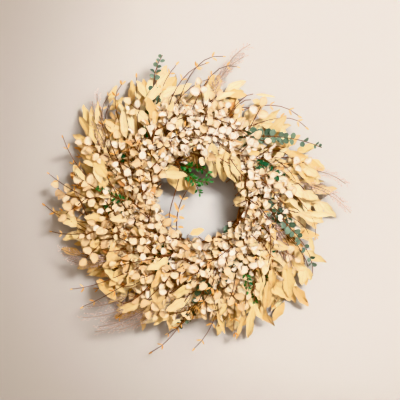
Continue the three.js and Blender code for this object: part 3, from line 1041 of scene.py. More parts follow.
@dataclass
class Growth:
    """Grows one spray as a shape: its stem, side twigs and leaves."""

    kind: SprayKind
    spray: Spray
    index: int
    manner: Manner = Manner()
    packed: PackedSolid | None = None
    shape: Shape = field(default_factory=new_shape)
    count: int = 0

    def stem(self) -> Shoot:
        """Its stem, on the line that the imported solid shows."""
        kind = self.kind
        lines = [self.spray.line(kind, arch, turn) for arch, turn in STEM_WAYS]
        line = lines[0]
        if self.packed:
            steps = [i / kind.steps for i in range(kind.steps + 1)]
            line = max(lines, key=lambda way: self.packed.share(way, kind.stem, steps))
        return Shoot(line, kind.steps, self.spray.leaves, kind.bare, kind.stem)

    def twig(self, stem: Shoot, j: int, length: float) -> Shoot | None:
        """One of its side twigs.

        Args:
            stem: The stem that it grows from.
            j: Which of the side twigs it is.
            length: Its length.

        Returns:
            The twig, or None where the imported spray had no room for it.
        """
        hand = -1 if j % 2 else 1
        t = TWIG_FIRST + TWIG_APART * j + TWIG_STRAY * draw(self.index, j, Use.TWIG_PLACE)
        stance = stem.line.bar_stance(stem.steps, min(t, TWIG_LAST))
        radii = (stem.radii[1] + TWIG_SWELL, stem.radii[1])
        for rise in TWIG_RISES:
            end = stance.at + stance.way * (length * TWIG_ALONG)
            end += stance.side * (hand * length * TWIG_OUT) + stance.above * (length * rise)
            line = straight(stance.at, end)
            if not self.packed or self.packed.share(line, radii, (1,)) > TWIG_SHOWN:
                return Shoot(line, 1, TWIG_LEAVES, TWIG_BARE, radii)
        return None

    def sites(self, shoot: Shoot, first: int) -> Iterator[LeafSite]:
        """The sites of a shoot's own leaves, numbered from the first."""
        kind = self.kind
        for k in range(shoot.leaves + 1):
            is_end = k == shoot.leaves
            step = k // 2 * 2 + PAIR_PLACE if kind.pairs else k + 0.5
            share = min(step / max(shoot.leaves, 1), LAST_PAIR)
            t = END_LEAF_AT if is_end else shoot.bare + (1 - shoot.bare) * share
            yield self.site(shoot, t, first + k, 1 if k % 2 else -1, is_end)

    def between(self, shoot: Shoot, others: list[LeafSite], first: int) -> Iterator[LeafSite]:
        """Sites for more leaves on a shoot, where it is bare between its own."""
        kind = self.kind
        length = shoot.line.length
        pairs = int(length * (LAST_PAIR - shoot.bare) / kind.apart)
        for i in range(pairs):
            t = shoot.bare + (LAST_PAIR - shoot.bare) * (i + FILL_FIRST) / max(pairs, 1)
            if all(abs(site.t - t) * length > kind.apart * FILL_GAP for site in others):
                for k in range(2 if kind.pairs else 1):
                    hand = 1 if (i + k) % 2 else -1
                    yield self.site(shoot, t + FILL_PAIR * k, first + 2 * i + k, hand)

    def site(self, shoot: Shoot, t: float, index: int, hand: int, is_end: bool = False) -> LeafSite:
        """One site on a shoot, with the leaf's own draws.

        Args:
            shoot: The shoot that it is on.
            t: The share of the shoot.
            index: The leaf's number on the spray.
            hand: 1 or -1, the side of the shoot.
            is_end: Whether it is the last leaf.

        Returns:
            The site.
        """
        kind, wild = self.kind, self.manner.wild

        def vary(use: Use) -> float:
            return draw(self.index, index, use)

        spread = END_LEAF_SPREAD if is_end else kind.spread + VARY_SPREAD * (vary(Use.SPREAD) - 0.5)
        lift = LOWEST_LIFT - WILD_DROOP * wild + (VARY_LIFT + WILD_LIFT * wild) * vary(Use.LIFT)
        roll = (VARY_ROLL + WILD_ROLL * wild) * (vary(Use.ROLL) - 0.5) - hand * kind.tilt
        roll -= hand * kind.edge * min(max(EDGE_RISE * t - 1, 0), 1)
        return LeafSite(
            t=t,
            stance=shoot.line.bar_stance(shoot.steps, t),
            hand=hand,
            spread=math.radians(spread),
            lift=math.radians(lift),
            roll=math.radians(roll),
            scale=(1 - kind.shrink * t) * (SMALLEST + VARY_SIZE * vary(Use.SIZE)) * self.size(),
            index=index,
        )

    def size(self) -> float:
        """How large the spray's leaves are beside its kind's, which differs where it is wild."""
        return 1 + WILD_SIZE * self.manner.wild * (draw(self.index, 0, Use.SPRAY_SIZE) - 0.5)

    def leaf_matrix(self, site: LeafSite) -> Matrix | None:
        """Where a leaf went: as packed, or where it has room if it isn't in the frame."""
        matrices = [site.matrix(*way) for way in LEAF_WAYS]
        if self.packed:
            tip = self.kind.leaf.tip()
            return next((m for m in matrices if self.packed.shows(m @ tip)), None)
        return next((m for m in matrices[:FREE_WAYS] if self.is_free(m)), None)

    def add_leaf(self, matrix: Matrix, index: int) -> None:
        """Adds a leaf in its place, with a tone that is its own but for painted light and shade by
        its height and place, its own warmth, and keeps its room.
        """
        leaf = self.kind.leaf
        values = self.shape.verts.layers.float_color[LEAF_VALUES]
        variant = int(draw(self.index, index, Use.VARIANT) * leaf.variants) % leaf.variants
        new = add(self.shape, leaf.blades[variant])
        bmesh.ops.transform(self.shape, matrix=matrix, verts=new)
        place = matrix.translation
        # Painted light and shade: high leaves, and those towards the lamps at the upper right, are
        # paler; low ones darker
        tone = self.manner.tone + PAINTED_LIGHT_BY_HEIGHT * (place.z / LEAF_HEIGHT - 0.5)
        tone += PAINTED_LIGHT_BY_PLACE * (place.x + place.y) / LEAF_REACH
        tone += TONE_BY_LEAF * (draw(self.index, index, Use.TONE) - 0.5)
        tone += TONE_BY_SPRAY * (draw(self.index, 0, Use.SPRAY_TONE) - 0.5)
        warmth = draw(self.index, index, Use.WARMTH)
        for vert in new:
            face, near = vert[values][2], vert[values][3]
            vert[values] = (min(max(tone, 0), 1), warmth, face, near)
        self.count += 1
        middles = self.places(matrix)
        CROWD.take(middles)
        clear = max(self.kind.clear, self.manner.clear)
        for rise in range(CLEAR_STEP, int(clear) + 1, CLEAR_STEP):
            CROWD.take(middle + UP * rise for middle in middles)

    def places(self, matrix: Matrix) -> list[Vector]:
        """The middle places of a leaf, by which it crowds others."""
        leaf = self.kind.leaf
        shares = SHORT_LEAF_PLACES if leaf.length < SHORT_LEAF else LONG_LEAF_PLACES
        return [matrix @ (leaf.tip() * share) for share in shares]

    def is_free(self, matrix: Matrix) -> bool:
        """Whether a leaf that isn't in the frame has room and stays in the wreath."""
        leaf = self.kind.leaf
        low, high = (corner / MM for corner in CAD_BOX)
        half = leaf.width / 2
        ends = [matrix @ leaf.tip()]
        ends += [matrix @ Vector((leaf.length * WIDEST_AT, side * half, 0)) for side in (-1, 1)]
        for end in ends:
            if end.z < LOWEST or not all(low[a] < end[a] < high[a] for a in range(3)):
                return False
            if math.hypot(end.x - HOLE_CENTRE[0], end.y - HOLE_CENTRE[1]) < self.manner.hole:
                return False
        middles = self.places(matrix)
        if any(ring_distance(place) < TIE_INNER + RING_CLEAR for place in middles):
            return False
        return CROWD.has_room(middles, self.kind.room * self.manner.room * matrix.to_scale().x)

    def add_shoot(self, shoot: Shoot, steps: int, first: int, more: int) -> None:
        """Adds a stem or side twig and its leaves.

        Args:
            shoot: The stem or twig.
            steps: How many steps the bar gets.
            first: The number of its first leaf.
            more: The number of the first leaf between its own.
        """
        radii = tuple(radius * self.manner.stem for radius in shoot.radii)
        tone = draw(self.index, first, Use.STEM_TONE)
        add_rod(self.shape, shoot.line, radii, steps, STEM_SIDES, tone)
        if self.manner.over_stem:
            for half_step in range(3, 2 * steps):
                place = shoot.line.at(half_step / 2 / steps)
                CROWD.take([place + UP * self.manner.over_stem])
        sites = list(self.sites(shoot, first))
        for site in sites:
            matrix = self.leaf_matrix(site)
            if matrix:
                self.add_leaf(matrix, site.index)
        for site in self.between(shoot, sites, more):
            matrix = site.matrix(scale=FILL_SCALE)
            if self.is_free(matrix):
                self.add_leaf(matrix, site.index)

    def grow(self) -> Shape:
        """Grows the whole spray.

        Returns:
            Its shape, in millimetres.
        """
        stem = self.stem()
        self.add_shoot(stem, STEM_STEPS, 0, MORE_ON_STEM)
        first = stem.leaves + 1
        for j, length in enumerate(self.spray.twigs):
            twig = self.twig(stem, j, length)
            if twig:
                self.add_shoot(twig, TWIG_STEPS, first, MORE_ON_TWIG + MORE_PER_TWIG * j)
                first += twig.leaves + 1
        return self.shape


# The leaves that the photo shows one by one, each laid at a given place


@dataclass(frozen=True)
class Laid:
    """Some laid leaves that make one piece, and how pale they are.

    Those of a twig sit on the hole's twig, so they get no stems.
    """

    name: str
    tone: float
    leaves: tuple[LaidLeaf, ...]
    kind: Kind = Kind.LAID

    def grow(self, index: int) -> Growth:
        """Lays the leaves, each on its stem.

        Args:
            index: The number that its draws start from.

        Returns:
            What has grown, as one spray without a stem.
        """
        kind = KINDS[self.kind]
        manner = Manner(self.tone, clear=LAID_CLEAR)
        growth = Growth(kind, Spray(0, 0, (0, 0, 0), 0, 0), index, manner)
        sides = [Vector((kind.leaf.length * share, hand * kind.leaf.width * LAID_ACROSS, 0))
                 for share in LAID_PLACES for hand in (-1, 1)]
        for i, laid in enumerate(self.leaves):
            matrix = laid.matrix(kind.leaf)
            if self.kind != Kind.TWIG:
                tone = draw(index, i, Use.STEM_TONE)
                add_rod(growth.shape, laid.line(), kind.stem, LAID_STEPS, STEM_SIDES, tone)
            growth.add_leaf(matrix, i)
            for rise in range(0, LAID_CLEAR, CLEAR_STEP):
                CROWD.take(matrix @ side + UP * rise for side in sides)
        return growth


def laid_leaves(*rows: tuple) -> tuple[LaidLeaf, ...]:
    """Laid leaves, each from a row of values in the order of LaidLeaf's fields."""
    return tuple(LaidLeaf(*row) for row in rows)


LAID = (
    Laid("gold_laid_hole", 0.75, laid_leaves(
        (95, (31, 129, 106), (33, 38, 76), 0.82, 12, 2),
        (85, (47, 112, 103), (62, 30, 70), 0.92, -12, 2),
        (81, (55, 110, 106), (106, 13, 74), 0.9, 4, 2),
        (73, (70, 99, 106), (98, 28, 88), 0.81, 12),
        (12, (115, -13, 88), (73, -2, 62), 1.57, 8),
        (24, (109, 11, 90), (82, 21, 70), 1.44, -16),
    )),
    Laid("tan_laid_hole", 0.35, laid_leaves(
        (103, (2, 103, 64), (-41, 65, 44), 1.39, 10),
        (156, (-75, 58, 54), (-19, 17, 36), 1.51, 0),
        (134, (-30, 52, 50), (-6, 6, 34), 1.27, -12),
        (144, (-65, 78, 58), (-45, 26, 44), 1.30, 10),
    )),
    Laid("cream_laid_hole", 1.0, laid_leaves(
        (-89, (-21, -80, 70), (16, -70, 58), 0.98, 10),
    )),
    Laid("twig_laid_hole", 0.6, laid_leaves(
        (-126, (-41, -33, 50), (-52, -9, 56), 0.72, 0),
        (-129, (-40, -28, 50), (-29, -15, 56), 0.95, 10),
        (-119, (-44, -43, 50), (-64, -37, 56), 0.90, 0),
        (-118, (-44, -45, 50), (-54, -54, 54), 1.25, 0),
        (-120, (-43, -41, 50), (-30, -45, 54), 1.27, 0),
        (-110, (-45, -63, 52), (-32, -65, 56), 1.24, 0),
    ), Kind.TWIG),
    Laid("gold_laid_left", 1.1, laid_leaves(
        (-165, (-194, 36, 88), (-234, 109, 74), 0.81, 0),
        (-161, (-209, 26, 84), (-227, 86, 74), 0.80, 14),
        (-179, (-221, 105, 72), (-241, 205, 58), 0.50, -16),
        (172, (-226, 150, 66), (-216, 216, 56), 0.42, 20),
        (149, (-126, 192, 88), (-56, 279, 70), 0.45, 12),
        (147, (-94, 153, 90), (-85, 212, 82), 0.77, -14),
        (-162, (-244, 34, 74), (-274, 77, 60), 0.73, 10),
        (147, (-129, 210, 70), (-131, 256, 58), 0.95, 0),
        (168, (-154, 122, 86), (-169, 195, 70), 0.66, -10),
        (161, (-139, 137, 84), (-152, 197, 72), 0.63, 16),
        (134, (-47, 140, 92), (-36, 190, 84), 0.77, 10),
        (137, (-38, 102, 92), (9, 128, 84), 0.84, -12),
        (142, (-111, 227, 72), (-99, 269, 60), 0.88, 0),
        (111, (17, 205, 86), (24, 253, 72), 0.78, 0),
        (107, (34, 211, 86), (84, 236, 70), 0.59, -14),
    )),
    Laid("gold_laid_low", 1.0, laid_leaves(
        (-140, (-260, -67, 66), (-309, -26, 54), 1.05, 8),
        (-130, (-230, -103, 64), (-285, -76, 52), 0.72, -10),
        (-102, (-174, -226, 70), (-224, -177, 56), 0.87, 12),
        (-92, (-122, -228, 72), (-183, -253, 56), 0.84, -8),
        (-81, (-62, -207, 86), (-125, -265, 62), 0.90, 4),
        (-67, (-8, -183, 90), (-62, -225, 74), 0.81, -14),
        (-117, (-158, -120, 90), (-109, -146, 80), 1.01, 22),
        (-106, (-169, -188, 82), (-210, -144, 70), 0.64, 10),
        (-100, (-152, -212, 80), (-202, -168, 68), 0.50, -18),
        (-126, (-210, -112, 74), (-245, -86, 62), 1.01, 0),
        (-82, (-82, -259, 60), (-126, -277, 46), 0.69, 0),
        (-71, (-34, -263, 64), (-65, -290, 50), 0.92, 10),
    )),
    Laid("gold_laid_right", 0.5, laid_leaves(
        (72, (100, 102, 94), (139, 92, 84), 0.82, 24),
        (56, (188, 109, 82), (280, 56, 62), 0.47, 8),
        (52, (195, 94, 84), (265, 21, 64), 0.55, -8),
        (47, (216, 81, 80), (271, 39, 62), 0.71, 14),
        (76, (135, 159, 72), (198, 147, 58), 0.69, -10),
        (88, (121, 228, 60), (173, 223, 46), 0.31, 0),
        (88, (116, 215, 66), (149, 205, 56), 0.95, 0),
        (52, (115, 55, 90), (137, 13, 82), 1.17, 0),
        (18, (219, -32, 74), (303, -41, 48), 0.38, 10),
        (18, (223, -30, 74), (265, -69, 56), 0.75, -12),
        (17, (212, -32, 76), (281, -54, 56), 0.61, 0),
        (8, (168, -53, 94), (145, -145, 84), 0.54, -10),
        (-9, (160, -111, 92), (135, -148, 84), 1.51, 8),
        (8, (243, -80, 62), (253, -123, 52), 0.62, 12),
        (-5, (232, -140, 70), (229, -194, 58), 1.02, 0),
        (-6, (241, -151, 66), (246, -183, 56), 1.14, 12),
        (-5, (206, -125, 72), (213, -175, 60), 0.65, -12),
        (-10, (188, -135, 84), (203, -226, 60), 0.77, 0),
        (-17, (169, -158, 82), (172, -233, 62), 0.81, 10),
        (-22, (154, -171, 80), (149, -252, 60), 0.61, -8),
        (-16, (162, -145, 88), (159, -215, 72), 0.72, 18),
        (-26, (141, -184, 78), (146, -243, 62), 0.74, 0),
        (-35, (122, -225, 74), (106, -309, 54), 0.52, 8),
        (-40, (103, -236, 70), (87, -318, 50), 0.33, -14),
        (-55, (39, -243, 66), (61, -303, 50), 0.35, 0),
        (-48, (66, -225, 80), (45, -260, 68), 0.79, 14),
    )),
)


# The sprays that the frame leaves out


@dataclass(frozen=True)
class Bunch:
    """Some sprays of one kind and manner that make one piece."""

    name: str
    kind: Kind
    manner: Manner
    sprays: tuple[Spray, ...]


@dataclass(frozen=True)
class Fill:
    """A layer of sprays laid all round by a rule: each size is drawn between two values.

    `sweep` is the angle from root to tip, `reach` the tip's distance as a share of the
    outline's, and `twigs` the lengths of the side twigs.
    """

    name: str
    kind: Kind
    count: int
    sweep: Pair
    reach: Pair
    height: Pair
    side: Pair
    arch: Pair
    leaves: int
    manner: Manner
    twigs: tuple[float, ...] = ()
    out: Pair = (25, 60)

    def sprays(self) -> Iterator[Spray]:
        """The layer's sprays, from +X round."""
        luck = random.Random(self.name)
        for i in range(self.count):
            root = (i + luck.uniform(*ROOT_STRAY)) * 360 / self.count
            angle = root - luck.uniform(*self.sweep)
            reach = outline(angle) * luck.uniform(*self.reach)
            tip = radial(angle, reach, luck.uniform(*self.height))
            yield Spray(
                root=root,
                side=luck.uniform(*self.side),
                tip=tuple(tip),
                arch=luck.uniform(*self.arch),
                leaves=self.leaves,
                out=luck.uniform(*self.out),
                twigs=tuple(length * luck.uniform(*TWIG_SHARES) for length in self.twigs),
            )

    def bunches(self) -> Iterator[Bunch]:
        """The layer in a few bunches round the wreath."""
        sprays = list(self.sprays())
        size = math.ceil(len(sprays) / FILL_GROUPS)
        for group in range(FILL_GROUPS):
            part = tuple(sprays[group * size:(group + 1) * size])
            yield Bunch(f"{self.name}_{group + 1}", self.kind, self.manner, part)


def tucked_in(*rows: tuple, alike: tuple = (14, 4)) -> tuple[Spray, ...]:
    """Sprays that are alike but for their places.

    Args:
        *rows: The root, the side and the tip of each, and its own arch, leaves and so on
            where they differ.
        alike: The arch, the number of leaves and so on that the others have, at first those
            of the gold sprays.

    Returns:
        The sprays.
    """
    places = 3
    return tuple(Spray(*row, *alike[len(row) - places:]) for row in rows)


SET_BY_HAND = Manner(tone=0.75, wild=0.2, hole=0, clear=20, over_stem=6, room=0.4)
LOW_BY_HAND = replace(SET_BY_HAND, clear=0, over_stem=0)
PALE_SPRAY = (14, 9, 30, (40, 36, 34))

BUNCHES = (
    Bunch("gold_left", Kind.BROAD, SET_BY_HAND, tucked_in(
        (172, 30, (-228, 190, 54), 14, 5),
        (178, 35, (-216, 146, 64)),
        (184, 40, (-226, 96, 66)),
        (-150, 40, (-256, -50, 60)),
        (-132, 40, (-226, -128, 62)),
        (-118, 40, (-192, -190, 58)),
        (-114, 82, (-128, -142, 86), 12, 3),
    )),
    Bunch("gold_low_right", Kind.BROAD, SET_BY_HAND, tucked_in(
        (-38, 35, (160, -248, 50), 14, 5),
        (-34, 42, (132, -262, 60)),
        (-18, 40, (180, -206, 62)),
        (-28, 48, (148, -188, 70)),
        (-58, 30, (76, -290, 42)),
        (-68, 30, (22, -276, 48)),
        (-84, 40, (-62, -250, 56)),
    )),
    Bunch("gold_right", Kind.BROAD, SET_BY_HAND, tucked_in(
        (28, 45, (268, -22, 58)),
        (18, 45, (252, -62, 52)),
        (40, 45, (260, 30, 58)),
        (66, 40, (182, 168, 50)),
        (58, 45, (218, 118, 52)),
    )),
    Bunch("gold_top", Kind.BROAD, SET_BY_HAND, tucked_in(
        (134, 35, (-64, 272, 56)),
        (130, 45, (-52, 228, 66)),
        (150, 40, (-136, 214, 58)),
    )),
    Bunch("pale_top", Kind.PALE, Manner(0.85, 0.9, over_stem=5), tucked_in(
        (158, 100, (-79, 127, 88)),
        (150, 70, (-76, 172, 80)),
        (142, 100, (-41, 142, 92)),
        (134, 60, (-28, 198, 78)),
        (128, 90, (-6, 162, 90)),
        (120, 70, (20, 195, 80)),
        (112, 100, (36, 146, 92)),
        (106, 70, (65, 179, 82)),
        (96, 90, (79, 137, 90)),
        (86, 70, (121, 144, 82)),
        alike=PALE_SPRAY,
    )),
    Bunch("pale_right", Kind.PALE, Manner(0.7, 0.9, over_stem=5), tucked_in(
        (68, 95, (127, 79, 84)),
        (56, 75, (174, 63, 72)),
        (44, 95, (149, 21, 84)),
        (32, 75, (188, -13, 72)),
        (20, 95, (144, -41, 84)),
        (10, 75, (171, -83, 72)),
        (0, 95, (123, -89, 84)),
        (-10, 75, (132, -137, 74)),
        alike=PALE_SPRAY,
    )),
    Bunch("pale_low", Kind.PALE, Manner(0.75, 0.9, over_stem=5), tucked_in(
        (-22, 100, (79, -127, 90)),
        (-32, 70, (71, -176, 82)),
        (-44, 100, (26, -146, 92)),
        (-54, 70, (0, -188, 82)),
        (-66, 90, (-32, -149, 90)),
        alike=PALE_SPRAY,
    )),
    Bunch("sprig_in_hole", Kind.SPRIG, LOW_BY_HAND, tucked_in(
        (132, 150, (6, 0, 64), 14, 3, 15),
        (126, 150, (20, 82, 68)),
        (136, 150, (35, 37, 66), 14, 3, 53),
        alike=(14, 2, 59),
    )),
    Bunch("twig_in_hole", Kind.TWIG, SET_BY_HAND, tucked_in(
        (-117, 150, (-11, 33, 56)),
        alike=(8, 3, 32),
    )),
    Bunch("sprig_round", Kind.SPRIG, SET_BY_HAND, tucked_in(
        (-38, 60, (150, -226, 60), 12, 7),
        (-48, 70, (106, -214, 70)),
        alike=(12, 6),
    )),
    Bunch("dark_round", Kind.DARK, SET_BY_HAND, tucked_in(
        (-108, 85, (-106, -150, 84)),
        (-118, 80, (-134, -172, 78)),
        (44, 85, (160, 62, 84), 12, 9),
        (36, 80, (190, 38, 80), 12, 9),
        (158, 50, (-210, 138, 54), 12, 7),
        (140, 70, (-104, 196, 74), 12, 7),
        (-20, 70, (176, -130, 74)),
        alike=(12, 8),
    )),
    Bunch("green_round", Kind.GREEN, SET_BY_HAND, tucked_in(
        (-34, 95, (68, -164, 86)),
        (12, 85, (176, -60, 84), 14, 7),
        (-40, 80, (34, -204, 74)),
        alike=(10, 5),
    )),
    Bunch("twigs_outside", Kind.TWIG, SET_BY_HAND, tucked_in(
        (-106, 50, (-262, -242, 66), 26, 4, 70),
        (-116, 50, (-286, -200, 66)),
        (-60, 40, (-16, -338, 50), 20, 4, 45),
        (150, 40, (-134, 276, 56), 18),
        (128, 40, (28, 298, 58), 18, 4, 20),
        (116, 50, (96, 284, 60), 22, 4, 0),
        (138, 50, (-40, 300, 60), 22, 4, 40),
        (76, 50, (244, 148, 54), 20, 4, 10),
        (-150, 50, (-330, -70, 66)),
        (-160, 50, (-334, 60, 66)),
        alike=(26, 4, 60),
    )),
    Bunch("plumes_right", Kind.PLUME, SET_BY_HAND, tucked_in(
        (4, 84, (186, -142, 86), 20),
        (-2, 82, (210, -168, 76), 22),
        (10, 84, (192, -114, 86)),
        (36, 35, (336, 22, 40), 14, 9, 45),
        (24, 35, (330, -20, 42), 14, 9, 45),
        alike=(18, 9, 54),
    )),
    Bunch("plumes_low_left", Kind.PLUME, SET_BY_HAND, tucked_in(
        (-96, 15, (-266, -262, 58), 4),
        (-84, 15, (-186, -292, 60), 4),
        (-90, 10, (-232, -284, 54)),
        (-104, 10, (-258, -238, 50)),
        (-124, 45, (-312, -106, 58), 20),
        (-126, 45, (-300, -126, 54), 20),
        (-80, 45, (-60, -262, 56), 14),
        (-72, 45, (-20, -268, 54), 14),
        alike=(2, 9),
    )),
    Bunch("plumes_top", Kind.PLUME, SET_BY_HAND, tucked_in(
        (142, 50, (-52, 236, 66)),
        (136, 50, (-20, 230, 66)),
        (98, 35, (114, 318, 40)),
        (168, 30, (-222, 244, 44)),
        alike=(14, 9),
    )),
)

FILLS = (
    Fill("twigs_over", Kind.TWIG, 44, (30, 60), (0.5, 0.92), (56, 100), (40, 110), (20, 38), 4,
         Manner(wild=1, over_stem=8, stem=1.25), out=(20, 70)),
    Fill("gold_over", Kind.BROAD, 10, (28, 52), (0.56, 0.74), (60, 80), (35, 70), (14, 24), 4,
         Manner(0.8, 0.4, clear=20)),
    Fill("gold_mid", Kind.BROAD, 28, (30, 60), (0.78, 0.96), (34, 60), (20, 50), (14, 24), 4,
         Manner(0.75, 0.6, clear=10), out=(15, 75)),
    Fill("gold_under", Kind.GOLD, 34, (30, 62), (0.86, 1.1), (12, 36), (0, 25), (8, 16), 4,
         Manner(0.55, 0.6), out=(10, 80)),
    Fill("twigs_rim", Kind.TWIG, 24, (30, 60), (0.96, 1.1), (30, 56), (10, 50), (14, 26), 5,
         Manner(wild=1), out=(10, 80)),
    Fill("pale_crown", Kind.PALE, 32, (28, 52), (0.42, 0.58), (70, 96), (60, 120), (12, 20), 10,
         Manner(0.7, 1, over_stem=7), (40, 36, 34), (10, 50)),
    Fill("pale_shoulder", Kind.PALE, 32, (30, 60), (0.58, 0.76), (52, 84), (40, 80), (18, 30), 14,
         Manner(0.65, 1, over_stem=7), (50, 44, 40)),
    Fill("pale_inside", Kind.PALE, 12, (22, 46), (0.34, 0.4), (36, 66), (110, 150), (8, 18), 8,
         Manner(0.5, 1, hole=94), (26, 24), (0, 30)),
    Fill("pale_skirt", Kind.PALE, 30, (30, 58), (0.76, 0.95), (32, 62), (20, 60), (18, 28), 16,
         Manner(0.6, 1, over_stem=7), (54, 48, 44)),
    Fill("tan_mid", Kind.TAN, 42, (28, 56), (0.48, 0.76), (38, 72), (30, 110), (12, 24), 12,
         Manner(0.62, 1, room=0.72), (44, 40)),
    Fill("tan_hem", Kind.TAN, 34, (28, 58), (0.74, 0.98), (14, 40), (0, 40), (8, 18), 12,
         Manner(0.4, 1), (50, 44)),
    Fill("green_glimpses", Kind.DARK, 14, (24, 46), (0.42, 0.72), (30, 66), (30, 110), (10, 20), 8,
         Manner(wild=1)),
)


# Finishes


def srgb(red: float, green: float, blue: float) -> tuple[float, float, float, float]:
    """A colour given as it looks on a screen, from 0 to 255, as the shaders take it."""
    def linear(value: float) -> float:
        share = value / 255
        return share / 12.92 if share <= 0.04045 else ((share + 0.055) / 1.055) ** 2.4

    return (linear(red), linear(green), linear(blue), 1.0)


class NodeGraph:
    """A few short ways to write a node tree."""

    def __init__(self, tree: bpy.types.NodeTree) -> None:
        """Writes into a tree."""
        self.tree = tree

    def node(self, kind: str, settings: dict | None = None, **inputs: object) -> bpy.types.Node:
        """Adds a node.

        Args:
            kind: Its type without the leading "ShaderNode".
            settings: Its own properties.
            **inputs: Values or links for its inputs, by name with _ for a blank.

        Returns:
            The node.
        """
        made = self.tree.nodes.new(f"ShaderNode{kind}")
        for setting, value in (settings or {}).items():
            setattr(made, setting, value)
        for label, value in inputs.items():
            self.set(made, label.replace("_", " "), value)
        return made

    def set(self, node: bpy.types.Node, name: str | int, value: object) -> None:
        """Sets an input of a node to a value or links it to a socket."""
        if isinstance(value, Socket):
            self.tree.links.new(value, node.inputs[name])
        else:
            node.inputs[name].default_value = value

    def result(self, kind: str, settings: dict, values: dict[int, object], output: int = 0) -> Socket:
        """An output of a new node.

        Args:
            kind: The node's type without the leading "ShaderNode".
            settings: Its own properties.
            values: Values or links for its inputs, by their numbers.
            output: The number of the output.

        Returns:
            The output.
        """
        made = self.node(kind, settings)
        for number, value in values.items():
            self.set(made, number, value)
        return made.outputs[output]

    def math(self, operation: str, *values: object, clamp: bool = False) -> Socket:
        """The result of some arithmetic on values or sockets."""
        settings = {"operation": operation, "use_clamp": clamp}
        return self.result("Math", settings, dict(enumerate(values)))

    def times(self, first: object, second: object) -> Socket:
        """One value times another."""
        return self.math("MULTIPLY", first, second)

    def ramp(self, share: object, low: float, high: float) -> Socket:
        """A share turned into a smooth step from 0 at low to 1 at high."""
        values = {0: share, 1: low, 2: high}
        return self.result("MapRange", {"interpolation_type": "SMOOTHSTEP"}, values)

    def mix(self, share: object, first: object, second: object) -> Socket:
        """A mix of two colours with a share of the second."""
        return self.result("Mix", {"data_type": "RGBA"}, {0: share, 6: first, 7: second}, 2)

    def uv(self) -> Socket:
        """Where a point is on its piece's UV map."""
        return self.node("UVMap", {"uv_map": UV_NAME}).outputs[0]

    def place(self) -> Socket:
        """Where a point is on its piece."""
        return self.node("TexCoord").outputs["Object"]

    def leaf_value(self, output: str) -> Socket:
        """The values of a point's leaf or stem, as a colour or its alpha."""
        return self.node("Attribute", {"attribute_name": LEAF_VALUES}).outputs[output]

    def palette(self, share: object, colours: tuple[Colour, ...]) -> Socket:
        """A colour from an even row of colours, by a share."""
        made = self.tree.nodes.new("ShaderNodeValToRGB")
        stops = made.color_ramp.elements
        for i, colour in enumerate(colours):
            place = i / (len(colours) - 1)
            stop = stops[0] if i == 0 else stops[-1] if i == len(colours) - 1 else stops.new(place)
            stop.position = place
            stop.color = srgb(*colour)
        self.set(made, 0, share)
        return made.outputs[0]

    def noise(self, scale: float, where: object, detail: float = 3) -> Socket:
        """A cloudy pattern on some coordinates."""
        return self.node("TexNoise", Vector=where, Scale=scale, Detail=detail).outputs[0]

    def stretched(self, where: object, scale: Place) -> Socket:
        """Coordinates that are stretched along their axes."""
        return self.node("Mapping", Vector=where, Scale=scale).outputs[0]


# The face of a leaf: its midrib and side veins in shares of the half width, its dry rim and
# its blotches with the grain of their clouds, and how strongly the relief shows
MIDRIB = (0.03, 0.16)
SIDE_VEIN_SLANT = 1.6
SIDE_VEIN = (0.78, 0.98)
SIDE_VEIN_STRENGTH = 0.55
VEIN_DEPTH = 0.5
DRY_RIM = (0.66, 1)
RIM_GRAIN = 160
RIM_STRAY = 0.5
BLOTCH = (0.56, 0.72)
BLOTCH_GRAIN = 75
FACE_GRAIN = 900
BUMP_STRENGTH = 0.7


def leaf_face_group() -> bpy.types.NodeTree:
    """The face of a leaf: midrib, side veins, dry rim and blotches, built once."""
    name = "leaf_face"
    if name in bpy.data.node_groups:
        return bpy.data.node_groups[name]
    tree = bpy.data.node_groups.new(name, "ShaderNodeTree")
    for label in ("Colour", "Vein colour", "Dry colour"):
        tree.interface.new_socket(label, in_out="INPUT", socket_type="NodeSocketColor")
    for label in ("Veins", "Side veins", "Dry rim", "Blotches"):
        tree.interface.new_socket(label, in_out="INPUT", socket_type="NodeSocketFloat")
    tree.interface.new_socket("Colour", in_out="OUTPUT", socket_type="NodeSocketColor")
    tree.interface.new_socket("Height", in_out="OUTPUT", socket_type="NodeSocketFloat")
    graph = NodeGraph(tree)
    given = tree.nodes.new("NodeGroupInput").outputs
    along, beside, _ = graph.node("SeparateXYZ", Vector=graph.uv()).outputs
    across = graph.math("ABSOLUTE", graph.math("MULTIPLY_ADD", beside, 2, -1))
    midrib = graph.math("SUBTRACT", 1, graph.ramp(across, *MIDRIB))
    lines = graph.times(along, given["Side veins"])
    slant = graph.math("SUBTRACT", lines, graph.times(across, SIDE_VEIN_SLANT))
    ridge = graph.math("ABSOLUTE", graph.math("MULTIPLY_ADD", graph.math("FRACT", slant), 2, -1))
    side_vein = graph.times(graph.ramp(ridge, *SIDE_VEIN), SIDE_VEIN_STRENGTH)
    veins = graph.times(graph.math("MAXIMUM", midrib, side_vein), given["Veins"])
    where = graph.place()
    stray = graph.math("MULTIPLY_ADD", graph.noise(RIM_GRAIN, where), RIM_STRAY, -RIM_STRAY / 2)
    rim = graph.ramp(graph.math("ADD", graph.leaf_value("Alpha"), stray), *DRY_RIM)
    blotch = graph.ramp(graph.noise(BLOTCH_GRAIN, where, 4), *BLOTCH)
    dry_rim, dry_spots = graph.times(rim, given["Dry rim"]), graph.times(blotch, given["Blotches"])
    dry = graph.math("MAXIMUM", dry_rim, dry_spots, clamp=True)
    colour = graph.mix(dry, given["Colour"], given["Dry colour"])
    colour = graph.mix(veins, colour, given["Vein colour"])
    height = graph.math("ADD", graph.times(veins, -VEIN_DEPTH), graph.noise(FACE_GRAIN, where, 2))
    result = tree.nodes.new("NodeGroupOutput").inputs
    tree.links.new(colour, result["Colour"])
    tree.links.new(height, result["Height"])
    return tree


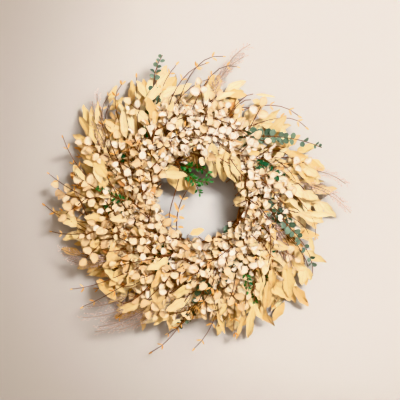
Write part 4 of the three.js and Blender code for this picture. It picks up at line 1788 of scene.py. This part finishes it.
@dataclass(frozen=True)
class Finish:
    """What every finish has: a name, its roughness, its relief and what light it lets through."""

    name: str
    roughness: float = 0.6
    relief: float = 0.0004
    specular: float = 0.2
    through: float = 0

    def colours(self, graph: NodeGraph) -> tuple[object, object]:
        """The colour and the height of the surface, which each kind of finish sets."""
        raise NotImplementedError

    def material(self) -> bpy.types.Material:
        """The finish as a material, made once.

        Returns:
            The material.
        """
        if self.name in bpy.data.materials:
            return bpy.data.materials[self.name]
        made = bpy.data.materials.new(self.name)
        made.use_nodes = True
        graph = NodeGraph(made.node_tree)
        shader = made.node_tree.nodes["Principled BSDF"]
        colour, height = self.colours(graph)
        graph.set(shader, "Base Color", colour)
        graph.set(shader, "Roughness", self.roughness)
        graph.set(shader, "Specular IOR Level", self.specular)
        bump = graph.node("Bump", Strength=BUMP_STRENGTH, Distance=self.relief, Height=height)
        graph.set(shader, "Normal", bump.outputs[0])
        if self.through:
            thin = graph.node("BsdfTranslucent", Color=colour)
            both = graph.node("MixShader", Fac=self.through)
            graph.set(both, 1, shader.outputs[0])
            graph.set(both, 2, thin.outputs[0])
            graph.set(made.node_tree.nodes["Material Output"], "Surface", both.outputs[0])
        return made


@dataclass(frozen=True)
class LeafFinish(Finish):
    """A leaf's colours from its darkest tone to its palest, with its veins and dry parts."""

    tones: tuple[Colour, ...] = ()
    warm: Colour = (214, 150, 90)
    vein: Colour = (200, 160, 110)
    dry: Colour = (176, 120, 66)
    under: Colour = (220, 200, 170)
    veins: float = 0.3
    side_veins: float = 7
    dry_rim: float = 0.4
    blotches: float = 0.25
    warming: float = 0.35
    warm_leaves: Pair = (0.45, 1)
    under_share: float = 0.5

    def colours(self, graph: NodeGraph) -> tuple[object, object]:
        """The leaf's colour by its values, whose tone holds painted light and shade, and its relief.
        """
        values = graph.node("SeparateColor", Color=graph.leaf_value("Color"))
        tone, warmth, face = values.outputs
        # The tone holds painted light and shade by the leaf's height and place, beside its own draws
        colour = graph.palette(tone, self.tones)
        heat = graph.times(graph.ramp(warmth, *self.warm_leaves), self.warming)
        colour = graph.mix(heat, colour, srgb(*self.warm))
        colour = graph.mix(graph.times(face, self.under_share), colour, srgb(*self.under))
        group = graph.tree.nodes.new("ShaderNodeGroup")
        group.node_tree = leaf_face_group()
        for label, value in (
            ("Colour", colour),
            ("Vein colour", srgb(*self.vein)),
            ("Dry colour", srgb(*self.dry)),
            ("Veins", self.veins),
            ("Side veins", self.side_veins),
            ("Dry rim", self.dry_rim),
            ("Blotches", self.blotches),
        ):
            graph.set(group, label, value)
        return group.outputs["Colour"], group.outputs["Height"]


@dataclass(frozen=True)
class BarkFinish(Finish):
    """Bark or a dry stem: streaks along the stem between a dark and a pale colour."""

    dark: Colour = (60, 36, 22)
    pale: Colour = (120, 80, 50)
    streaks: float = 40
    rings: float = 3
    spots: float = 240
    streak_share: float = 0.6
    spot_share: float = 0.5
    tone_share: float = 0.5
    darkening: float = 0.3

    def colours(self, graph: NodeGraph) -> tuple[object, object]:
        """The bark's colour and its ridges."""
        streak = graph.noise(1, graph.stretched(graph.uv(), (self.rings, self.streaks, 1)), 4)
        spot = graph.times(graph.noise(self.spots, graph.place()), self.spot_share)
        share = graph.math("ADD", graph.times(streak, self.streak_share), spot)
        tone = graph.node("SeparateColor", Color=graph.leaf_value("Color")).outputs[0]
        tone = graph.math("MULTIPLY_ADD", tone, self.tone_share, -self.darkening)
        share = graph.math("ADD", share, tone, clamp=True)
        return graph.mix(share, srgb(*self.dark), srgb(*self.pale)), streak


@dataclass(frozen=True)
class TwineFinish(Finish):
    """Twine of twisted strands, which cross the turns at a slant."""

    dark: Colour = (120, 88, 56)
    pale: Colour = (190, 156, 110)
    strands: float = 22
    waver: float = 1.5
    fuzz: float = 2600
    fuzz_share: float = 0.4

    def colours(self, graph: NodeGraph) -> tuple[object, object]:
        """The twine's colour and the relief of its strands."""
        strand = graph.node("TexWave", {"bands_direction": "DIAGONAL"}, Vector=graph.uv(),
                            Scale=self.strands, Distortion=self.waver)
        fuzz = graph.times(graph.noise(self.fuzz, graph.place(), 2), self.fuzz_share)
        share = graph.math("ADD", graph.times(strand.outputs[1], 1 - self.fuzz_share), fuzz)
        return graph.mix(share, srgb(*self.dark), srgb(*self.pale)), share


@dataclass(frozen=True)
class SeedFinish(Finish):
    """Tiny dry seeds and husks, each of its own shade."""

    dark: Colour = (176, 134, 112)
    pale: Colour = (240, 220, 206)
    grain: float = 420
    shades: Pair = (0.35, 0.65)

    def colours(self, graph: NodeGraph) -> tuple[object, object]:
        """The seeds' colour and the relief of their husks."""
        cloud = graph.noise(self.grain, graph.place(), 2)
        return graph.mix(graph.ramp(cloud, *self.shades), srgb(*self.dark), srgb(*self.pale)), cloud


STEM_FINISH = BarkFinish("stem_bark", dark=(66, 34, 18), pale=(134, 82, 46), streaks=3, rings=30,
                         relief=0.0002)
STRAW_FINISH = replace(STEM_FINISH, name="plume_straw", dark=(112, 80, 66), pale=(194, 166, 144))
SEED_FINISH = SeedFinish("seed_husk", roughness=0.7, relief=0.0002)

CREAM_FACE = LeafFinish(
    "cream_leaf_face",
    tones=((200, 168, 128), (231, 206, 165), (248, 230, 190), (252, 241, 213), (254, 250, 238)),
    warm=(236, 200, 148), vein=(230, 200, 154), dry=(206, 160, 110), under=(243, 217, 172),
    veins=0.35, side_veins=5, dry_rim=0.6, blotches=0.2, through=0.14,
)

GOLD_FACE = LeafFinish(
    "gold_leaf_face",
    tones=((212, 176, 120), (239, 208, 147), (250, 228, 170), (252, 239, 197)),
    warm=(236, 188, 120), vein=(222, 186, 128), dry=(196, 150, 98), under=(247, 228, 182),
    veins=0.5, side_veins=9, dry_rim=0.35, blotches=0.2, roughness=0.55, through=0.14,
)

LEAF_FINISHES = {
    Kind.GOLD: GOLD_FACE,
    Kind.BROAD: GOLD_FACE,
    Kind.LAID: GOLD_FACE,
    Kind.CREAM: CREAM_FACE,
    Kind.PALE: CREAM_FACE,
    Kind.GREEN: LeafFinish(
        "green_leaf_face",
        tones=((38, 54, 42), (56, 76, 60), (78, 98, 80), (110, 126, 106)),
        warm=(88, 104, 70), vein=(110, 126, 98), dry=(96, 92, 60), under=(110, 126, 106),
        veins=0.4, side_veins=6, dry_rim=0.15, blotches=0.15, through=0.1,
    ),
    Kind.SPRIG: LeafFinish(
        "sprig_leaf_face",
        tones=((14, 48, 26), (26, 78, 36), (44, 106, 48), (76, 138, 72)),
        warm=(70, 112, 44), vein=(76, 128, 70), dry=(60, 84, 36), under=(66, 108, 62),
        veins=0.4, side_veins=5, dry_rim=0.1, blotches=0.1, roughness=0.45, through=0.15,
    ),
    Kind.TWIG: LeafFinish(
        "twig_leaf_face",
        tones=((204, 142, 70), (230, 174, 96), (242, 202, 130), (248, 222, 160)),
        warm=(232, 168, 80), vein=(206, 150, 84), dry=(166, 104, 48), under=(236, 200, 140),
        veins=0.4, side_veins=5, through=0.15,
    ),
    Kind.PLUME: LeafFinish("plume_leaf_face", tones=((200, 170, 146), (226, 204, 184))),
    Kind.TAN: LeafFinish(
        "tan_leaf_face",
        tones=((198, 138, 82), (224, 176, 116), (238, 206, 154), (246, 226, 186)),
        warm=(228, 168, 102), vein=(208, 160, 106), dry=(180, 124, 70), under=(232, 194, 142),
        veins=0.4, side_veins=6, dry_rim=0.4, blotches=0.25, through=0.14,
    ),
    Kind.DARK: LeafFinish(
        "dark_leaf_face",
        tones=((16, 44, 26), (28, 66, 40), (44, 88, 58)),
        warm=(60, 96, 50), vein=(70, 110, 70), dry=(60, 70, 40), under=(50, 90, 64),
        veins=0.4, side_veins=5, dry_rim=0.1, blotches=0.1, roughness=0.45,
    ),
}


# The pieces


def placed(name: str, data: bpy.types.ID) -> bpy.types.Object:
    """A new object in the scene."""
    made = bpy.data.objects.new(name, data)
    bpy.context.scene.collection.objects.link(made)
    return made


def finish_piece(
    name: str,
    shape: Shape,
    finishes: Iterable[Finish],
    slot: str,
    replaced: Iterable[str] = (),
) -> None:
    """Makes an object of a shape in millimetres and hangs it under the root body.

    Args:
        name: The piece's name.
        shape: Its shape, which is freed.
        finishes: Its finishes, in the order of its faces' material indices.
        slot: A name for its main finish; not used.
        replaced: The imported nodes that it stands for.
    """
    bmesh.ops.scale(shape, vec=(MM, MM, MM), verts=shape.verts)
    mesh = bpy.data.meshes.new(name)
    shape.to_mesh(mesh)
    shape.free()
    for finish in finishes:
        mesh.materials.append(finish.material())
    piece = placed(name, mesh)
    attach(piece, "root")
    if replaced:
        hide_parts(*replaced)
    LOG.info("%s: %d faces", name, len(mesh.polygons))


@dataclass
class VineRing:
    """The ring of wound vines and its ties."""

    steps: int = 150
    sides: int = 12
    vine_radius: float = 7.1
    bark_depth: float = 0.9
    bark_grain: float = 0.16
    bark_layers: int = 4
    knots: float = 0.045
    knots_apart: float = 9
    knot_depth: float = 1.2
    ridges: int = 5
    ridge_depth: float = 0.35
    ridge_drift: float = 60
    tone: float = 0.3
    tones_apart: float = 0.1
    bark: BarkFinish = BarkFinish("vine_bark_face", dark=(34, 20, 13), pale=(104, 66, 42),
                                  streaks=9, rings=60, relief=0.0012, roughness=0.8)
    twine: TwineFinish = TwineFinish("tie_twine", roughness=0.8, relief=0.0004)
    twine_turns: int = 4
    twine_sides: int = 8
    twine_gap: float = 0.98
    twine_slants: float = 20
    tie_steps: int = 56

    def vine_place(self, vine: int, share: float) -> tuple[Vector, Vector, Vector]:
        """A vine's place at a share of the way round, with two ways across it."""
        degrees = 360 * share
        side = math.radians(vine_side(vine, degrees))
        away = radial(degrees) * math.cos(side) + UP * math.sin(side)
        at = radial(degrees, RING_RADIUS, RING_HEIGHT) + away * VINE_WIND_RADIUS
        round_it = radial(degrees) * -math.sin(side) + UP * math.cos(side)
        return at, away, round_it

    def vine(self, vine: int) -> Shape:
        """One vine: a grid rolled round its closed line, with ridged and knotted bark."""
        shape = new_shape()
        values = shape.verts.layers.float_color[LEAF_VALUES]
        bmesh.ops.create_grid(
            shape, x_segments=self.steps, y_segments=self.sides, size=0.5, calc_uvs=True
        )
        for vert in shape.verts:
            share, turn = (vert.co.x + 0.5) % 1, ((vert.co.y + 0.5) % 1) * TURN
            at, away, round_it = self.vine_place(vine, share)
            out = away * math.cos(turn) + round_it * math.sin(turn)
            centre = at + out * self.vine_radius
            bark = noise.fractal(centre * self.bark_grain, 1, 2, self.bark_layers) * self.bark_depth
            own_knots = Vector((vine * self.knots_apart, 0, 0))
            knot = noise.noise(at * self.knots + own_knots) * self.knot_depth
            drift = share * self.ridge_drift + vine
            ridge = self.ridge_depth * math.cos(turn * self.ridges + drift)
            vert.co = at + out * (self.vine_radius + bark + knot + ridge)
            vert[values] = (self.tone + self.tones_apart * vine, 0.5, 0, 0)
        bmesh.ops.remove_doubles(shape, verts=shape.verts, dist=JOIN_WITHIN)
        bmesh.ops.recalc_face_normals(shape, faces=shape.faces)
        for face in shape.faces:
            face.smooth = True
        return shape

    def tie(self, degrees: float) -> Shape:
        """One tie: turns of twine side by side round the vines, flat where it rests."""
        shape = new_shape()
        wire = TIE_WIDTH / self.twine_turns / 2
        thickness = TIE_THICKNESS / 2
        rounds = []
        for turn in range(self.twine_turns):
            at = Vector((TIE_INNER + thickness, (turn + 0.5) * 2 * wire - TIE_WIDTH / 2, 0))
            made = bmesh.ops.create_circle(shape, segments=self.twine_sides, radius=wire)
            for vert in made["verts"]:
                across = vert.co.y * self.twine_gap
                vert.co = at + Vector((vert.co.x * thickness / wire, across, 0))
            rounds += made["verts"]
        edges = {edge for vert in rounds for edge in vert.link_edges}
        bmesh.ops.spin(
            shape, geom=[*rounds, *edges], cent=(0, 0, 0), axis=(0, 1, 0), angle=TURN,
            steps=self.tie_steps, use_merge=True,
        )
        bmesh.ops.remove_doubles(shape, verts=shape.verts, dist=JOIN_WITHIN)
        uv = shape.loops.layers.uv[UV_NAME]
        for face in shape.faces:
            face.smooth = True
            for loop in face.loops:
                co = loop.vert.co
                loop[uv].uv = (math.atan2(co.z, co.x) / TURN * self.twine_slants, co.y)
        turn = Matrix.Rotation(math.radians(degrees), 4, "Z")
        seat = Matrix.Translation((RING_RADIUS, 0, RING_HEIGHT))
        bmesh.ops.transform(shape, matrix=turn @ seat, verts=shape.verts)
        for vert in shape.verts:
            vert.co.z = max(vert.co.z, 0)
        bmesh.ops.recalc_face_normals(shape, faces=shape.faces)
        return shape

    def build(self) -> None:
        """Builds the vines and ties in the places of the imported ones."""
        for i in range(VINES):
            node = f"vine_{i + 1}"
            finish_piece(f"{node}_bark", self.vine(i), [self.bark], "vine_bark", [node])
        for i, degrees in enumerate(TIE_ANGLES):
            node = f"ring_tie_{i + 1}"
            finish_piece(f"{node}_twine", self.tie(degrees), [self.twine], "tie_band", [node])


@dataclass
class Foliage:
    """All the sprays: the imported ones, finer, the laid leaves and the bunches between them.

    Draws count from 0 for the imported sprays, from `first_laid` for the laid leaves, and from
    `first_bunch` for the bunches, which have `per_bunch` numbers each.
    """

    first_laid: int = 5000
    first_bunch: int = 100
    per_bunch: int = 10
    leaves: int = 0

    def dress(self, name: str, kind: Kind, shape: Shape, *replaced: str) -> None:
        """Makes a piece of a shape, with the finishes of a kind of spray.

        Args:
            name: The piece's name.
            kind: The kind of spray.
            shape: Its shape, which is freed.
            *replaced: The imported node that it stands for, if any.
        """
        stem = STRAW_FINISH if kind == Kind.PLUME else STEM_FINISH
        finishes = (LEAF_FINISHES[kind], stem, SEED_FINISH)
        finish_piece(name, shape, finishes, KINDS[kind].slot, replaced)

    def build_packed(self) -> None:
        """Builds a finer spray in the place of each packed one."""
        index = 0
        for kind, sprays in SPRAYS.items():
            for node, spray in sprays.items():
                growth = Growth(KINDS[kind], spray, index, packed=PackedSolid(node))
                self.dress(f"{node}_fine", kind, growth.grow(), node)
                self.leaves += growth.count
                index += 1

    def build_laid(self) -> None:
        """Builds the laid leaves."""
        for i, laid in enumerate(LAID):
            growth = laid.grow(self.first_laid + i)
            self.dress(laid.name, laid.kind, growth.shape)
            self.leaves += growth.count

    def build_bunch(self, bunch: Bunch, first: int) -> None:
        """Builds a bunch as one piece.

        Args:
            bunch: Its sprays and their manner.
            first: The number of its first spray, for its draws.
        """
        whole = new_shape()
        for i, spray in enumerate(bunch.sprays):
            growth = Growth(KINDS[bunch.kind], spray, first + i, bunch.manner)
            part = kept(growth.grow(), "part")
            add(whole, part)
            bpy.data.meshes.remove(part)
            self.leaves += growth.count
        if whole.faces:
            self.dress(bunch.name, bunch.kind, whole)

    def build(self) -> None:
        """Builds every spray, the listed ones before the layers that fill up round them."""
        self.build_packed()
        self.build_laid()
        bunches = [*BUNCHES, *(bunch for fill in FILLS for bunch in fill.bunches())]
        for i, bunch in enumerate(bunches):
            self.build_bunch(bunch, self.first_bunch + self.per_bunch * i)
        LOG.info("%d leaves", self.leaves)


@dataclass(frozen=True)
class Lamp:
    """A round lamp: where it hangs, its diameter, its power in watts and where it shines."""

    name: str
    at: Place
    size: float
    power: float
    aim: Place = (0, 0, 0)
    spread: float = 180
    colour: Colour = (238, 246, 255)

    def hang(self) -> None:
        """Hangs it in the scene."""
        light = bpy.data.lights.new(self.name, "AREA")
        light.shape = "DISK"
        light.size = self.size
        light.energy = self.power
        light.color = srgb(*self.colour)[:3]
        light.spread = math.radians(self.spread)
        lamp = placed(self.name, light)
        lamp.location = self.at
        way = Vector(self.at) - Vector(self.aim)
        lamp.rotation_euler = way.to_track_quat("Z", "Y").to_euler()


@dataclass(frozen=True)
class Studio:
    """The plain pale floor, the lamps, the sky and the camera over the wreath."""

    view_width: float = 0.88
    camera_height: float = 2.9
    leaf_height: float = 0.05
    centre: Pair = (0.0044, -0.0044)
    floor_size: float = 8
    floor_colour: Colour = (178, 171, 163)
    floor_roughness: float = 0.9
    sky_colour: Colour = (255, 220, 182)
    sky_strength: float = 0.54
    lamps: tuple[Lamp, ...] = (
        Lamp("key", (1.2, 0.92, 2.1), 1.4, 5.5, aim=(0.40, 0.17, 0), spread=16),
        Lamp("sun", (2.17, 1.67, 3.8), 0.6, 143),
        Lamp("front", (0.3, 0.1, 2.7), 2.4, 28),
    )

    def floor(self) -> None:
        """Lays the floor, which isn't part of the wreath."""
        shape = new_shape()
        bmesh.ops.create_grid(shape, x_segments=1, y_segments=1, size=self.floor_size / 2)
        mesh = kept(shape, "floor")
        if mesh.polygons[0].normal.z < 0:
            mesh.flip_normals()
        finish = bpy.data.materials.new("floor_paint")
        finish.use_nodes = True
        shader = finish.node_tree.nodes["Principled BSDF"]
        shader.inputs["Base Color"].default_value = srgb(*self.floor_colour)
        shader.inputs["Roughness"].default_value = self.floor_roughness
        mesh.materials.append(finish)
        placed("floor", mesh)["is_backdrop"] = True

    def sky(self) -> None:
        """Sets the light that comes from all round."""
        world = bpy.data.worlds.new("sky")
        world.use_nodes = True
        background = world.node_tree.nodes["Background"]
        background.inputs["Color"].default_value = srgb(*self.sky_colour)
        background.inputs["Strength"].default_value = self.sky_strength
        bpy.context.scene.world = world

    def camera(self) -> None:
        """Looks straight down on the wreath, with its top up."""
        lens = bpy.data.cameras.new("camera")
        distance = self.camera_height - self.leaf_height
        lens.lens = lens.sensor_width * distance / self.view_width
        camera = placed("camera", lens)
        camera.location = (*self.centre, self.camera_height)
        bpy.context.scene.camera = camera

    def build(self) -> None:
        """Sets the whole studio: a soft and a crisp lamp at the upper right, one in front."""
        self.floor()
        for lamp in self.lamps:
            lamp.hang()
        self.sky()
        self.camera()
        bpy.context.scene.view_settings.view_transform = "Khronos PBR Neutral"


def main() -> None:
    """Builds the studio, the ring and the foliage, and works out the sizes of the frame and the
    model.
    """
    logging.basicConfig(level=logging.INFO, format="%(message)s")
    Studio().build()
    VineRing().build()
    Foliage().build()
    sizes = {"cad": CAD_BOX, "visual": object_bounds()}
    {name: [list(corner) for corner in box] for name, box in sizes.items()}


if __name__ == "__main__":
    main()
